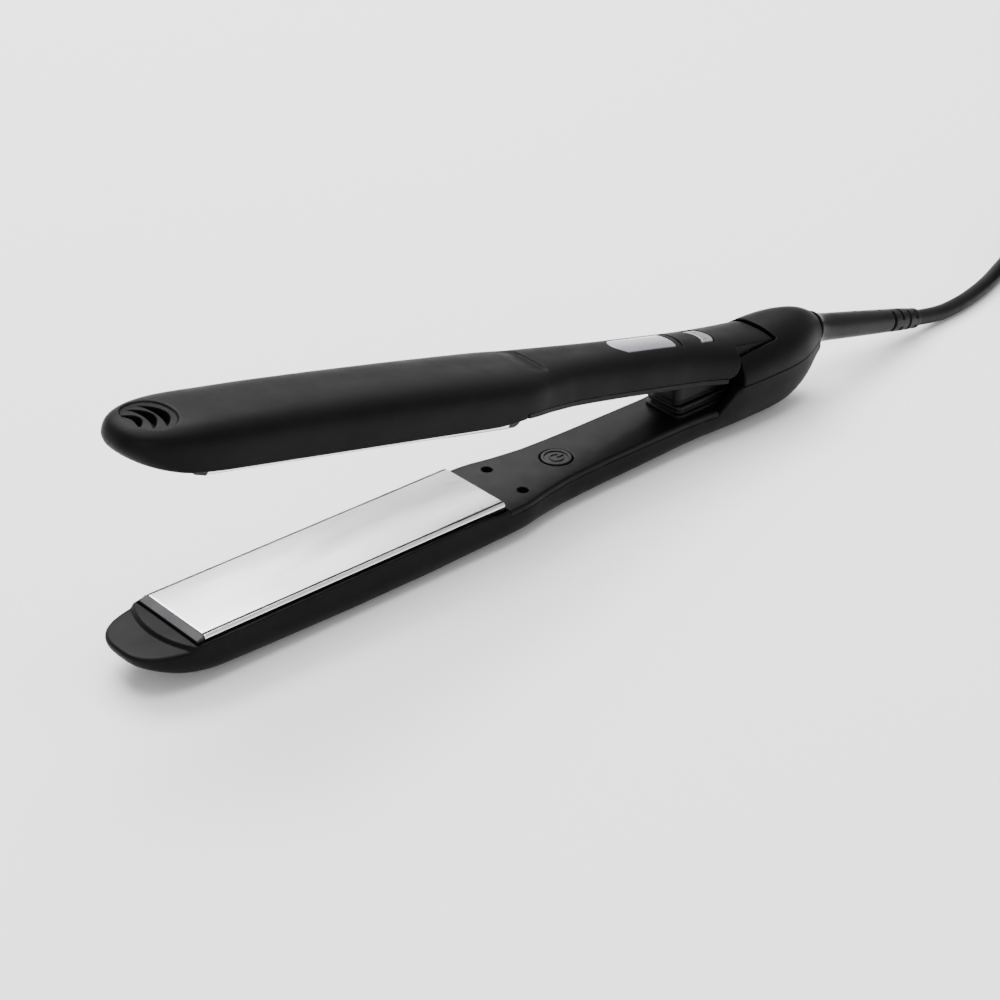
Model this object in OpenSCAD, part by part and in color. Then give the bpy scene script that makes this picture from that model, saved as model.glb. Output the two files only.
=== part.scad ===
// Hair straightener with two hinged arms, floating plates and a swivel lead.
// Units are millimetres. The origin is on the resting plane, straight below
// the hinge axis. +X runs to the lead, -X to the nose, +Z is up.
// Both arms are drawn as half tools: x from the hinge axis, z = 0 on the plane
// where the plates meet, +z towards the back of the arm.

/* [Plates] */
// Length of a heating plate
plate_len = 117.6; // [112:0.2:118]
// Width of a heating plate
plate_w = 30; // [28:0.5:30]
// Thickness of a heating plate
plate_t = 2.4; // [2:0.1:2.4]
// Travel of a floating plate into its arm
float_travel = 0.8; // [0.4:0.1:0.8]

/* [Arms] */
// Distance from the front edge of the plate to the hinge axis
hinge_reach = 238; // [234:1:244]
// Height of the hinge axis above the plane where the plates meet
hinge_rise = 10.5; // [10:0.25:11]
// Height of the plane where the plates meet above the resting plane
mid_z = 16.5; // [16.5:0.1:17]
// Angle between the two arms as drawn
open_deg = 12.5; // [9:0.5:13]
// Wall thickness of the arm shells
wall = 1.8; // [1.4:0.1:2]
// Depth of the inner covers below the plane where the plates meet
cover_drop = 3.05; // [3:0.05:3.2]
// Thickness of the inner covers
cover_t = 2; // [1.6:0.1:2]

/* [Controls] */
// Diameter of the power button
button_d = 10.6; // [9:0.1:11]
// Travel of the power button
button_travel = 0.6; // [0.3:0.1:0.6]
// Length of the display window
window_len = 27.6; // [18:0.2:27.6]
// Length of the temperature rocker
rocker_len = 6; // [5:0.2:7.4]

/* [Hinge] */
// Diameter of the hinge pin
pin_d = 4; // [3:0.5:4]
// Running clearance between pin and bushes, on the radius
pin_fit = 0.04; // [0.02:0.01:0.08]
// Half width of the upper arm's tongue
tongue_w = 9.2; // [8.8:0.1:9.3]

/* [Lead] */
// Diameter of the mains lead
cord_d = 6; // [5.6:0.1:6]
// Downward tilt of the swivel's axis
swivel_tilt = 13.8; // [12:0.2:15]
// Radius of the swivel ball
ball_r = 5.4; // [5:0.1:5.4]
// Height of the folded bundle of lead
hank_h = 25; // [20:1:26]

/* [Hidden] */

black = [0.07, 0.07, 0.075];
inner_black = [0.1, 0.1, 0.11];
rubber = [0.05, 0.05, 0.055];
steel = [0.72, 0.72, 0.74];
mirror_metal = [0.86, 0.86, 0.88];
silver_grey = [0.55, 0.55, 0.56];
lens_grey = [0.62, 0.61, 0.66];
resin = [0.25, 0.25, 0.27];
board_green = [0.12, 0.32, 0.2];
ceramic = [0.85, 0.84, 0.8];
silicone = [0.75, 0.3, 0.22];
brass = [0.75, 0.62, 0.3];

// Stations are distances from the front edge of the plate
function X(s) = s - hinge_reach;
cover_from = plate_len + 1.2;
pivot = [0, 0, mid_z + hinge_rise];
axis_s = 268.5;
ball_z = hinge_rise - 2.86;
button_s = 154;
housing_screw_s = 257;
screw_s = 131;
screw_y = 8.75;
window_s = 174.6;
rocker_s = 216.6;

// Half width of both arms
ARM_W = [[-23.6, 2.2], [-23.1, 4.4], [-22, 6.9], [-19.8, 9.7], [-16.6, 12.2],
  [-12, 14.4], [-6, 15.9], [0, 16.4], [10, 16.6], [112, 16.6], [122, 16.5],
  [127, 16.2], [131, 15.5], [134, 14.7], [138, 14], [142, 13.4], [148, 12.5],
  [158, 12], [170, 11.7], [205, 11.6], [214, 12], [222, 12.9], [228, 13.6]];
// Height of the upper arm's back above the plane where the plates meet
UP_BACK = [[-23.6, 8.8], [-23.1, 10.6], [-22, 12.2], [-19.8, 13.8],
  [-16.6, 14.8], [-12, 15.4], [-6, 15.6], [0, 15.9], [15, 16.3], [30, 16.8], [60, 17],
  [90, 16.9], [118, 16.5], [127, 16.1], [131, 16.1], [134, 16.5], [145, 16.8],
[165, 17], [175, 17.1], [190, 17.25], [205, 17.2], [228, 17]];
// Exponent of the rounding of the upper arm's back
UP_ROUND = [[-20, 2.3], [-12, 2.8], [0, 3.4], [150, 3.4], [175, 2.8], [190, 2.6], [228, 2.6]];
// Height of the upper arm's rim above the same plane
UP_RIM = [[-23.6, 6.9], [-23.1, 5.1], [-22, 3.9], [-19.8, 2.9], [-16.6, 2.3],
  [-12, 1.9], [0, 1.8], [112, 1.8], [118, 2.4], [123.8, 3.2], [124.2, 5.1],
  [228, 5.1]];
// Depth of the lower arm's back below the plane where the plates meet
LOW_BACK = [[-20.6, 7], [-20, 8.3], [-18.9, 9.5], [-17, 10.9], [-14, 12.4],
  [-9.6, 13.6], [-4, 14.5], [4, 15.2], [20, 15.8], [40, 16.3], [56, 16.8],
  [84, 16.8], [100, 16.1], [116, 15.6], [130, 15.3], [150, 15.5], [172, 15.1],
  [190, 14.6], [205, 14.4], [214, 14.9], [222, 15.7], [232, 16.8],
  [252, 16.8], [257, 15.9], [261, 14.7], [265, 12.9], [269, 10.5], [272, 8],
  [275, 5.5], [278, 3.5], [280.5, 2.5]];
// Half width of the lower arm's nose, then of the hinge housing
LOW_W = [[-20.6, 2.6], [-20, 5.4], [-18.9, 7.8], [-17, 10.6], [-14, 13],
  [-9.6, 14.9], [-4, 16.1], [4, 16.5], [10, 16.6], [112, 16.6], [122, 16.5],
  [127, 16.2], [131, 15.5], [134, 14.7], [138, 14], [142, 13.4], [148, 12.5],
  [158, 12], [170, 11.7], [205, 11.6], [214, 12.1], [222, 13.2],
  [230, 14.4], [238, 14.8], [252, 14.8], [257, 14.4], [261, 13.7], [265, 12.6],
  [269, 11.1], [272, 9.6], [275, 8], [278, 6.8], [280.5, 6]];
// Height of the hinge housing's top above the same plane
TOP = [[228, 16.1], [232, 16.5], [240, 16.8],
  [250, 17], [261, 16.9], [265, 16.6], [269, 16.1], [272, 15.4], [275, 14.3],
  [278, 12.6], [280.5, 10.6]];
// Exponent of the rounding of the back, from squarish to round
ROUND = [[-20, 2.3], [-12, 2.8], [0, 3.4], [190, 3.4], [205, 3.1], [214, 2.8],
  [222, 2.4], [232, 2.1], [282, 2]];

function at(t, s) = lookup(s, t);

// One closed ring of a section. w half width, rim height of the open edge,
// mid height where the straight side ends, back height of the back
function ring(x, w, rim, mid, back, p, r, n) = concat(
  [[x, w - r, rim], [x, w - 0.3 * r, rim + 0.3 * r], [x, w, rim + r]],
  [for (i = [0 : n]) let (a = 180 * i / n, c = cos(a), k = sin(a))
    [x, w * sign(c) * pow(abs(c), 2 / p),
     mid + (back - mid) * pow(max(k, 0), 2 / p)]],
  [[x, -w, rim + r], [x, -w + 0.3 * r, rim + 0.3 * r], [x, -w + r, rim]]);

// A solid through a list of rings with the same number of points
module loft(rings) {
  m = len(rings);
  k = len(rings[0]);
  polyhedron(
    points = [for (g = rings) each g],
    faces = concat(
      [[for (j = [0 : k - 1]) j]],
      [for (i = [0 : m - 2], j = [0 : k - 1]) let (q = (j + 1) % k)
        each [[i * k + j, (i + 1) * k + j, (i + 1) * k + q],
              [i * k + j, (i + 1) * k + q, i * k + q]]],
      [[for (j = [0 : k - 1]) (m - 1) * k + k - 1 - j]]));
}

// Places a half tool as the lower arm
module as_lower() translate([0, 0, mid_z]) mirror([0, 0, 1]) children();
// Places a half tool as the upper arm, opened about the hinge axis
module as_upper()
  translate(pivot) rotate([0, open_deg, 0]) translate(-pivot)
    translate([0, 0, mid_z]) children();
// Places what is drawn along +Z onto the swivel's axis, from the ball's centre
module on_swivel()
  translate([X(axis_s), 0, mid_z + ball_z]) rotate([0, 90 + swivel_tilt, 0])
    children();
// A box between two stations
module block(s0, s1, hw, z0, z1)
  translate([X(s0), -hw, z0]) cube([s1 - s0, 2 * hw, z1 - z0]);
// A round bar along z
module bar(s, y, z0, z1, r, fn = 32)
  translate([X(s), y, z0]) cylinder(r = r, h = z1 - z0, $fn = fn);

// ---- shapes shared by both arms ----

module heating_plate() {
  e = plate_t / 2;
  translate([X(0), -plate_w / 2 + e, 0]) cube([plate_len, plate_w - 2 * e, plate_t]);
  for (y = [-1, 1])
    translate([X(0), y * (plate_w / 2 - e), e]) rotate([0, 90, 0])
      cylinder(r = e, h = plate_len, $fn = 32);
}

module plate_carrier(rear_lip) {
  difference() {
    union() {
      block(-0.2, plate_len + 0.4, 13.9, 2.45, 7.5);
      translate([X(0), 14.9, 0]) rotate([90, 0, 0]) linear_extrude(29.8)
        polygon([[-0.15, 0.3], [-3.3, 1.5], [-3.3, 7.5], [-0.15, 7.5]]);
      if (rear_lip)
        translate([X(plate_len), 15, 0]) rotate([90, 0, 0]) linear_extrude(30)
          polygon([[0.2, 0.2], [3.6, 0.5], [5.2, 2.2], [5.2, 7.5], [0.2, 7.5]]);
    }
    block(20, 98, 7, 2, 5.5);
    block(99.4, 112, 3, 2, 5.5);
  }
}

module heater() block(24, 94, 6, 2.45, 4.95);

module heater_clip() {
  block(30, 88, 5, 5, 5.3);
  for (s = [30, 84]) block(s, s + 4, 5, 5.3, 5.45);
}

module temperature_sensor() {
  translate([X(101), 0, 3.8]) rotate([0, 90, 0]) cylinder(r = 1.2, h = 5, $fn = 24);
  for (y = [-0.6, 0.6])
    translate([X(105.8), y, 3.8]) rotate([0, 90, 0]) cylinder(r = 0.3, h = 5.4, $fn = 16);
}

module plate_cushions()
  for (s = [8, 52, 96]) block(s, s + 14, 9, 7.55, 10.4);

module cushion_ribs(depth)
  for (s = [8, 52, 96]) block(s - 1, s + 15, 11, 10.45, depth);

module heater_leads(s1)
  for (y = [-4.2, 4.2])
    translate([X(120), y, 8.6]) rotate([0, 90, 0]) cylinder(r = 0.8, h = s1 - 120, $fn = 16);

// Outline of an inner cover, drawn inside the arm's own outline by inset
module cover_outline(w, s0, s1, inset) {
  st = [s0, 122, 127, 131, 134, 138, 142, 148, 158, 170, 188, 205, 214, s1];
  polygon(concat(
    [for (s = st) [X(s), at(w, s) - inset]],
    [for (i = [len(st) - 1 : -1 : 0]) [X(st[i]), -at(w, st[i]) + inset]]));
}

module inner_cover(w, s0, s1) {
  translate([0, 0, cover_drop + 0.7]) linear_extrude(cover_t - 0.7) cover_outline(w, s0, s1, 0);
  translate([0, 0, cover_drop]) linear_extrude(0.71) cover_outline(w, s0, s1, 0.6);
}

// Boss under a cover for a sunk screw, and the screw
module screw_boss(y) bar(screw_s, y, cover_drop + 0.8, 10, 3.1);
module screw_hole(y) {
  bar(screw_s, y, cover_drop - 1, 8.9, 1.85);
  bar(screw_s, y, 8, 11, 1.15);
}
module cover_screw(y) {
  difference() {
    bar(screw_s, y, 7.4, 8.85, 1.7);
    bar(screw_s, y, 7, 8.1, 0.7, 6);
  }
  bar(screw_s, y, 8.8, 12.4, 1);
}
module screw_post(y, depth) difference() {
  bar(screw_s, y, 10.1, depth, 2.9);
  bar(screw_s, y, 10, 14, 1.1);
}

// ---- lower arm ----

low_st = [-20.6, -20, -18.9, -17, -14, -9.6, -8.7, -4, 4, 20, 40, 56, 84, 100, 116, 118.3,
  118.7, 122, 127, 131, 134, 138, 142, 148, 158, 172, 190, 205, 214, 219.6, 220.4,
  223, 226, 229.8, 232, 244, 252, 257, 261, 265, 269, 272, 275, 278, 280.5];
// Height of the lower arm's open edge: nose ledge, plate rim, cover seat, housing
LOW_RIM = [[-20.6, 5.6], [-20, 4.7], [-18.9, 4.2], [-17, 3.9], [-14, 3.8],
  [-9.6, 3.8], [-8.8, 2.6], [118.3, 2.6], [118.7, 5.1], [219.6, 5.1],
  [220.4, 3.2], [223, 1.4], [226, -1.4], [228.6, -2.7], [229.8, -3.5], [281, -3.5]];

module lower_outer() difference() {
  loft([for (s = low_st)
  let (rim = at(LOW_RIM, s), back = at(LOW_BACK, s))
  ring(X(s), at(LOW_W, s), rim, max(rim + 0.9, min(6, back - 2) - 5 * min(1, max(0, (s - 208) / 22))),
       back, at(ROUND, s), 0.8, 16)]);
  // flat to rest on
  block(-30, 300, 40, mid_z, mid_z + 5);
}

module lower_hollow() loft([for (s = [-4.1, 4, 30, 60, 84, 100, 116, 124, 131, 138, 148, 170, 205, 214,
      222, 232, 244, 252, 257, 261, 265, 269, 272, 275, 276.6])
  let (back = at(LOW_BACK, s) - wall)
  ring(X(s), at(LOW_W, s) - (s < 0 ? 0.8 : s < 120 ? 1.1 : wall), -6, min(6, back - 1.5), back, at(ROUND, s), 0.5, 12)]);

module nose_step_cut() difference() {
  translate([X(-30), -20, -1]) cube([27.5, 40, 4.9]);
  translate([X(22.6), 0, -2]) cylinder(r = 31, h = 8, $fn = 96);
}

module lower_arm_shell() color(black) as_lower() {
  difference() {
    lower_outer();
    lower_hollow();
    nose_step_cut();
    // opening for the swivel's neck
    mirror([0, 0, 1]) translate([0, 0, -mid_z]) on_swivel() cylinder(r = 4.5, h = 20, $fn = 40);
    // sunk screw heads under the housing
    for (y = [-6.5, 6.5]) bar(housing_screw_s, y, 9.8, 20, 2.5);
  }
  intersection() {
    lower_outer();
    union() {
      cushion_ribs(17);
      for (y = [-screw_y, screw_y]) screw_post(y, 17);
      for (y = [-5, 5]) bar(button_s, y, 10.8, 17, 2);
      for (y = [-6.5, 6.5]) difference() {
        bar(housing_screw_s, y, -3.2, 20, 3.4);
        bar(housing_screw_s, y, -4, 12, 1.15);
        bar(housing_screw_s, y, 9.8, 21, 2.5);
      }
      // seat of the hinge bracket
      block(231, 245, 9, 9.05, 17);
    }
  }
}

module lower_inner_cover() color(inner_black) as_lower() difference() {
  union() {
    inner_cover(LOW_W, cover_from, 219.2);
    block(218, 231, 8.8, cover_drop, cover_drop + cover_t);
    for (y = [-screw_y, screw_y]) screw_boss(y);
  }
  for (y = [-screw_y, screw_y]) screw_hole(y);
  bar(button_s, 0, 0, 8, button_d / 2 + 0.25, 64);
  // way for the wires and the spring's seat
  block(217, 221.4, 3.2, 0, 8);
}

module lower_cover_screws() color(steel) as_lower()
  for (y = [-screw_y, screw_y]) cover_screw(y);

module lower_plate_cushions() color(silicone) as_lower() plate_cushions();
module lower_plate_carrier() color(resin) as_lower() plate_carrier(false);
module lower_heating_plate() color(mirror_metal) as_lower() heating_plate();
module lower_heater() color(ceramic) as_lower() heater();
module lower_heater_clip() color(steel) as_lower() heater_clip();
module lower_temperature_sensor() color(brass) as_lower() temperature_sensor();
module lower_heater_leads() color(silicone) as_lower() heater_leads(214);

module power_button() color(inner_black) as_lower() {
  difference() {
    bar(button_s, 0, cover_drop - 0.25, 6, button_d / 2, 64);
    bar(button_s, 0, cover_drop - 1, cover_drop, button_d / 2 - 1.1, 64);
  }
  bar(button_s, 0, 5.15, 6, button_d / 2 + 1, 64);
}

module power_switch() color(steel) as_lower() {
  block(button_s - 3, button_s + 3, 3, 7.6, 9.5);
  bar(button_s, 0, 6.8, 7.6, 1.6);
}

module power_board() color(board_green) as_lower() difference() {
  block(145, 163, 8, 9.55, 10.75);
  for (y = [-6, 6]) bar(147.5, y, 9, 11, 0.9);
}

// Steel bracket inside the tongue: foot, two ears, bores for the pin
module hinge_bracket() color(steel) difference() {
  union() {
    translate([-7, -6.6, mid_z - 9]) cube([14, 13.2, 1.2]);
    for (y = [-6.6, 5.2]) {
      translate([-4, y, mid_z - 9]) cube([8, 1.4, 9 + hinge_rise]);
      translate([0, y, mid_z + hinge_rise]) rotate([-90, 0, 0]) cylinder(r = 4, h = 1.4, $fn = 48);
    }
  }
  translate([0, 20, mid_z + hinge_rise]) rotate([90, 0, 0]) cylinder(r = pin_d / 2 + 0.01, h = 40, $fn = 48);
}

module hinge_pin() color(steel)
  translate([0, 9.4, mid_z + hinge_rise]) rotate([90, 0, 0]) cylinder(r = pin_d / 2, h = 18.8, $fn = 48);

top_st = [229.8, 234, 240, 252, 257, 261, 265, 269, 272, 275, 278, 280.5];
// The housing's upper half, drawn with +z up from the plane where plates meet
module housing_outer() loft([for (s = top_st)
  ring(X(s), at(LOW_W, s), 3.55, 5, at(TOP, s), s > 260 ? 2.1 : 2.3, 0.4, 16)]);
module housing_hollow() loft([for (s = [251.5, 257, 261, 265, 269, 272, 275, 276.6])
  ring(X(s), at(LOW_W, s) - 1.6, 0, 5, at(TOP, s) - 1.6, 2.1, 0.4, 12)]);

module hinge_housing_cover() color(black) translate([0, 0, mid_z]) {
  difference() {
    housing_outer();
    housing_hollow();
    // notch for the tongue
    translate([X(210), -tongue_w - 0.4, 0]) cube([hinge_reach - 210, 2 * tongue_w + 0.8, 30]);
    translate([0, tongue_w + 0.4, hinge_rise]) rotate([90, 0, 0])
      cylinder(r = 11.9, h = 2 * tongue_w + 0.8, $fn = 96);
    translate([0, -tongue_w - 0.4, 0]) cube([11.9, 2 * tongue_w + 0.8, hinge_rise]);
    translate([0, 0, -mid_z]) on_swivel() cylinder(r = 4.5, h = 20, $fn = 40);
  }
  intersection() {
    housing_outer();
    for (y = [-6.5, 6.5]) difference() {
      bar(housing_screw_s, y, 3.6, 20, 3.2);
      bar(housing_screw_s, y, 0, 12, 0.95);
    }
  }
}

module housing_screws() color(steel) as_lower()
  for (y = [-6.5, 6.5]) {
    bar(housing_screw_s, y, 9.85, 11.6, 2.3);
    bar(housing_screw_s, y, -9.5, 9.9, 0.9);
  }

// Round wire wound about z, from z0 to z1
module coil_spring(r, wire, z0, z1, turns) {
  n = 6;
  steps = round(turns * 12);
  rings = [for (i = [0 : steps]) let (a = 360 * turns * i / steps, z = z0 + (z1 - z0) * i / steps)
    [for (j = [0 : n - 1]) let (b = 360 * j / n, q = r + wire * cos(b))
      [q * cos(a), q * sin(a), z - wire * sin(b)]]];
  loft(rings);
}

module opening_spring() color(steel) translate([X(211), 0, mid_z]) mirror([0, 1, 0])
  coil_spring(3.2, 0.5, -2.4, 7, 5);

module boot_tier(s0, s1, hw, z0, z1) {
  r = 2.5;
  translate([X(s0) + r, -hw, z0]) cube([s1 - s0 - 2 * r, 2 * hw, z1 - z0]);
  translate([X(s0), -hw + r, z0]) cube([s1 - s0, 2 * hw - 2 * r, z1 - z0]);
  for (s = [s0 + r, s1 - r], y = [-hw + r, hw - r]) bar(s, y, z0, z1, r, 24);
}

module spring_boot() color(rubber) difference() {
  translate([0, 0, mid_z]) {
    boot_tier(201.6, 230.6, 8.6, -cover_drop + 0.02, -1.6);
    boot_tier(203.4, 229, 7, -1.61, -0.4);
    boot_tier(202.4, 229.8, 8, -0.41, 1.4);
    boot_tier(203.8, 228.4, 6.8, 1.39, 2.9);
    boot_tier(203.4, 227.4, 7.2, 2.89, 16);
  }
  as_upper() block(190, 250, 20, cover_drop - 0.03, 30);
  translate([X(205.6), -5, mid_z - 10]) cube([18.6, 10, 40]);
}

module arm_link_wires() color(silicone)
  for (y = [-1.8, 0, 1.8]) translate([X(219), y, mid_z - 7])
    cylinder(r = 0.7, h = 19.4, $fn = 16);

module swivel_socket() color(inner_black) on_swivel() difference() {
  translate([0, 0, -4]) cylinder(r = ball_r + 1, h = 7.4, $fn = 48);
  sphere(r = ball_r + 0.06, $fn = 48);
  translate([0, 0, -10]) cylinder(r = 4.3, h = 20, $fn = 40);
}

module swivel_ball() color(inner_black) on_swivel() difference() {
  union() {
    sphere(r = ball_r, $fn = 48);
    cylinder(r = 3.9, h = 20, $fn = 40);
  }
  translate([0, 0, -10]) cylinder(r = 2.4, h = 31, $fn = 32);
}

relief_r = [[13.6, 4.5], [15, 5], [17, 5.2], [21, 5.1], [26, 5.05], [34.5, 4.9], [47, 4.65], [56, 4.4]];
module strain_relief() color(rubber) on_swivel() rotate_extrude($fn = 40)
  polygon(concat(
    [for (q = relief_r) [q[1], q[0]]],
    [[4.4, 57.6], [3.7, 58], [3.7, 59.4], [4.5, 59.6], [4.4, 62.6], [3.6, 62.8],
     [3.6, 64], [4.25, 64.2], [4.15, 67], [3.5, 67.2], [3.5, 68.4], [4, 68.6],
     [3.9, 71.2], [3.45, 71.4], [3.4, 74], [0.6, 74], [0.6, 20.2], [3.93, 20.2], [3.93, 13.6]]));

// ---- upper arm ----

up_st = [-23.6, -23.1, -22, -19.8, -16.6, -12, -6, 0, 15, 30, 60, 90, 112, 118, 123.8,
  124.2, 127, 131, 134, 138, 142, 148, 158, 170, 186, 205, 214, 222, 228];

module upper_outer() loft([for (s = up_st)
  let (rim = at(UP_RIM, s), back = at(UP_BACK, s))
  ring(X(s), at(ARM_W, s), rim, max(rim + 0.9, min(6, (rim + back) / 2)), back, at(UP_ROUND, s), 0.8, 16)]);

module upper_hollow() loft([for (s = [-4.1, 4, 30, 60, 90, 112, 123.6, 124.4, 131, 138, 148, 170, 205, 214, 226])
  let (back = at(UP_BACK, s) - wall)
  ring(X(s), at(ARM_W, s) - (s < 0 ? 0.8 : s < 123.7 ? 1.1 : wall), -4, 6, back, s < 160 ? 3.2 : 2.6, 0.5, 12)]);

// The tongue that carries the hinge axis: sloping back, end round about the axis
module tongue(hw, r) intersection() {
  translate([0, hw, 0]) rotate([90, 0, 0]) linear_extrude(2 * hw)
    polygon([[X(222), 5.2], [13, 5.2], [13, 18.1], [X(228), 17], [X(222), 17]]);
  union() {
    translate([0, hw, hinge_rise]) rotate([90, 0, 0]) cylinder(r = r, h = 2 * hw, $fn = 64);
    translate([X(222), -hw, 5.2]) cube([hinge_reach - 222, 2 * hw, 16]);
  }
  translate([-30, 0, 17.9 - 26]) rotate([0, 90, 0]) cylinder(r = 26, h = 60, $fn = 96);
}

module vent_cut(s, r, w) intersection() {
  translate([X(s) + r, 0, 10]) difference() {
    cylinder(r = r, h = 10, $fn = 48);
    translate([w, 0, -1]) cylinder(r = r, h = 12, $fn = 48);
  }
  translate([X(-24), -8.6, 8]) cube([14, 17.2, 12]);
}

module upper_arm_shell() color(black) as_upper() {
  difference() {
    union() {
      difference() {
        upper_outer();
        // clearance to the housing's cheeks
        translate([X(227), tongue_w - 0.6, 0]) cube([30, 10, 30]);
        translate([X(227), -tongue_w - 9.4, 0]) cube([30, 10, 30]);
      }
      tongue(tongue_w, 11.4);
    }
    upper_hollow();
    translate([X(225), -tongue_w + 2.2, 4]) cube([hinge_reach - 225 + 8, 2 * tongue_w - 4.4, 10.8]);
    translate([0, 20, hinge_rise]) rotate([90, 0, 0]) cylinder(r = 3.25, h = 40, $fn = 48);
    // display window and rocker
    lens_plan(window_s, window_s + window_len, 5.2, 0.12, -0.12, 0.15, 12);
    lens_plan(rocker_s, rocker_s + rocker_len, 5, -0.08, -0.08, 0.55, 12);
    for (i = [0 : 2]) vent_cut(-17.5 + 3.4 * i, 12, 1.5);
  }
  intersection() {
    upper_outer();
    union() {
      difference() {
        cushion_ribs(17.5);
        block(-10, 250, 4, 12, 20);
      }
      for (y = [-screw_y, screw_y]) screw_post(y, 17.5);
    }
  }
}

module upper_inner_cover() color(inner_black) as_upper() difference() {
  union() {
    inner_cover(ARM_W, plate_len + 6.7, 224);
    for (y = [-screw_y, screw_y]) screw_boss(y);
  }
  for (y = [-screw_y, screw_y]) screw_hole(y);
  block(213.5, 222.4, 3.2, 0, 8);
}

module upper_cover_screws() color(steel) as_upper()
  for (y = [-screw_y, screw_y]) cover_screw(y);

module upper_plate_cushions() color(silicone) as_upper() plate_cushions();
module upper_plate_carrier() color(resin) as_upper() plate_carrier(true);
module upper_heating_plate() color(mirror_metal) as_upper() heating_plate();
module upper_heater() color(ceramic) as_upper() heater();
module upper_heater_clip() color(steel) as_upper() heater_clip();
module upper_temperature_sensor() color(brass) as_upper() temperature_sensor();
module upper_heater_leads() color(silicone) as_upper() translate([4, 0, -0.6]) heater_leads(200);

module hinge_bushes() color(brass) as_upper()
  for (y = [-tongue_w + 0.05, tongue_w - 2.15]) translate([0, y, hinge_rise]) rotate([-90, 0, 0])
    difference() {
      cylinder(r = 3.2, h = 2.1, $fn = 48);
      translate([0, 0, -1]) cylinder(r = pin_d / 2 + pin_fit, h = 5, $fn = 48);
    }

// A prism across the top of the arm whose two ends are bowed, grown by gap
module lens_plan(s0, s1, hw, k0, k1, gap, z0) translate([0, 0, z0]) linear_extrude(20 - z0)
  offset(delta = gap) polygon(concat(
    [for (y = [-hw : hw / 8 : hw + 0.001]) [X(s0) + k0 * y * y, y]],
    [for (y = [hw : -hw / 8 : -hw - 0.001]) [X(s1) + k1 * y * y, y]]));

module top_slice(s0, s1, hw, k0, k1, z0) intersection() {
  loft([for (s = [s0 - 4, (s0 + s1) / 2, s1 + 1])
    ring(X(s), at(ARM_W, s), 6, 7, at(UP_BACK, s), at(UP_ROUND, s), 0.8, 24)]);
  lens_plan(s0, s1, hw, k0, k1, 0, z0);
}

module display_window() color(lens_grey) as_upper()
  top_slice(window_s, window_s + window_len, 5.2, 0.12, -0.12, 14.6);

module display_module() color(inner_black) as_upper()
  block(window_s + 3.4, window_s + window_len - 3.4, 4.4, 11, 14.3);

module control_board() color(board_green) as_upper() difference() {
  block(150, 222, 7.6, 9.6, 10.8);
  for (s = [153, 219], y = [-5.6, 5.6]) bar(s, y, 9, 12, 0.9);
}

module temperature_rocker() color(silver_grey) as_upper()
  top_slice(rocker_s, rocker_s + rocker_len, 5, -0.08, -0.08, 14.3);

module rocker_switches() color(steel) as_upper()
  for (y = [-3.2, 3.2]) {
    translate([X(rocker_s + rocker_len / 2 - 2.6), y - 1.4, 11]) cube([4.4, 2.8, 2.2]);
    bar(rocker_s + rocker_len / 2 - 0.4, y, 13.2, 13.7, 0.9, 24);
  }

// ---- lead, folded bundle and plug ----

relief_end = 74.3;
cord_x0 = X(axis_s) + relief_end * cos(swivel_tilt);
cord_z0 = mid_z + ball_z - relief_end * sin(swivel_tilt);
// Route of the lead on the resting plane, then up to the bundle's side
ROUTE = [[cord_x0, 0, cord_z0], [110, 0, 4.9], [120, 0.2, 3.4], [132, 1, 3.1],
  [144, 3, 3.1], [156, 6, 3.1], [168, 10, 3.2], [178, 13.5, 3.4]];
hank_x0 = 178;
hank_len = 146;
hank_w = 54;
tie_x = hank_x0 + 66;
plug_x = hank_x0 + 58;
plug_z = hank_h + 6.9;

// A round tube along a list of points
module tube(path, r, n) {
  m = len(path);
  loft([for (i = [0 : m - 1])
    let (d = path[min(i + 1, m - 1)] - path[max(i - 1, 0)], t = d / norm(d),
         u = [-t[1], t[0], 0] / norm([t[0], t[1]]), v = cross(t, u))
    [for (j = [0 : n - 1]) let (b = 360 * j / n) path[i] + r * (cos(b) * u + sin(b) * v)]]);
}

module power_cord() color(rubber) tube(ROUTE, cord_d / 2, 10);

module hank_outline(x0, len, w) {
  translate([x0 + w / 2, -w / 2]) square([len - w, w]);
  for (x = [x0 + w / 2, x0 + len - w / 2]) translate([x, 0]) circle(d = w, $fn = 64);
}

module cord_hank() color(rubber) difference() {
  linear_extrude(hank_h) hank_outline(hank_x0, hank_len, hank_w);
  // notch where the tie sits
  difference() {
    translate([tie_x - 0.1, -40, -1]) cube([14.2, 80, hank_h + 2]);
    translate([tie_x - 1, -hank_w / 2 + 1, 1]) cube([17, hank_w - 2, hank_h - 2]);
  }
  // way in for the lead
  translate([hank_x0 - 5, 0, 0]) cube([5.05, 30, 8]);
}

module cord_tie() color(inner_black) difference() {
  translate([tie_x, -hank_w / 2 + 0.05, 0.05]) cube([14, hank_w - 0.1, hank_h - 0.1]);
  translate([tie_x - 1, -hank_w / 2 + 0.95, 0.95]) cube([16, hank_w - 1.9, hank_h - 1.9]);
}

TAIL = [[plug_x - 48, 0, hank_h + 3.1], [plug_x - 39, 0, hank_h + 4], [plug_x - 31, 0, hank_h + 5.9],
  [plug_x - 25, 0, plug_z], [plug_x - 20.1, 0, plug_z]];
module cord_tail() color(rubber) tube(TAIL, cord_d / 2, 10);

module plug_body() color(rubber) translate([plug_x, 0, plug_z]) {
  translate([0, -9, -6.85]) cube([36, 18, 13.7]);
  for (y = [-9, 9]) translate([0, y, 0]) rotate([0, 90, 0]) cylinder(r = 6.85, h = 36, $fn = 48);
  translate([-20, 0, 0]) rotate([0, 90, 0]) cylinder(r1 = 3.6, r2 = 5.4, h = 20, $fn = 40);
}

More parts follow.
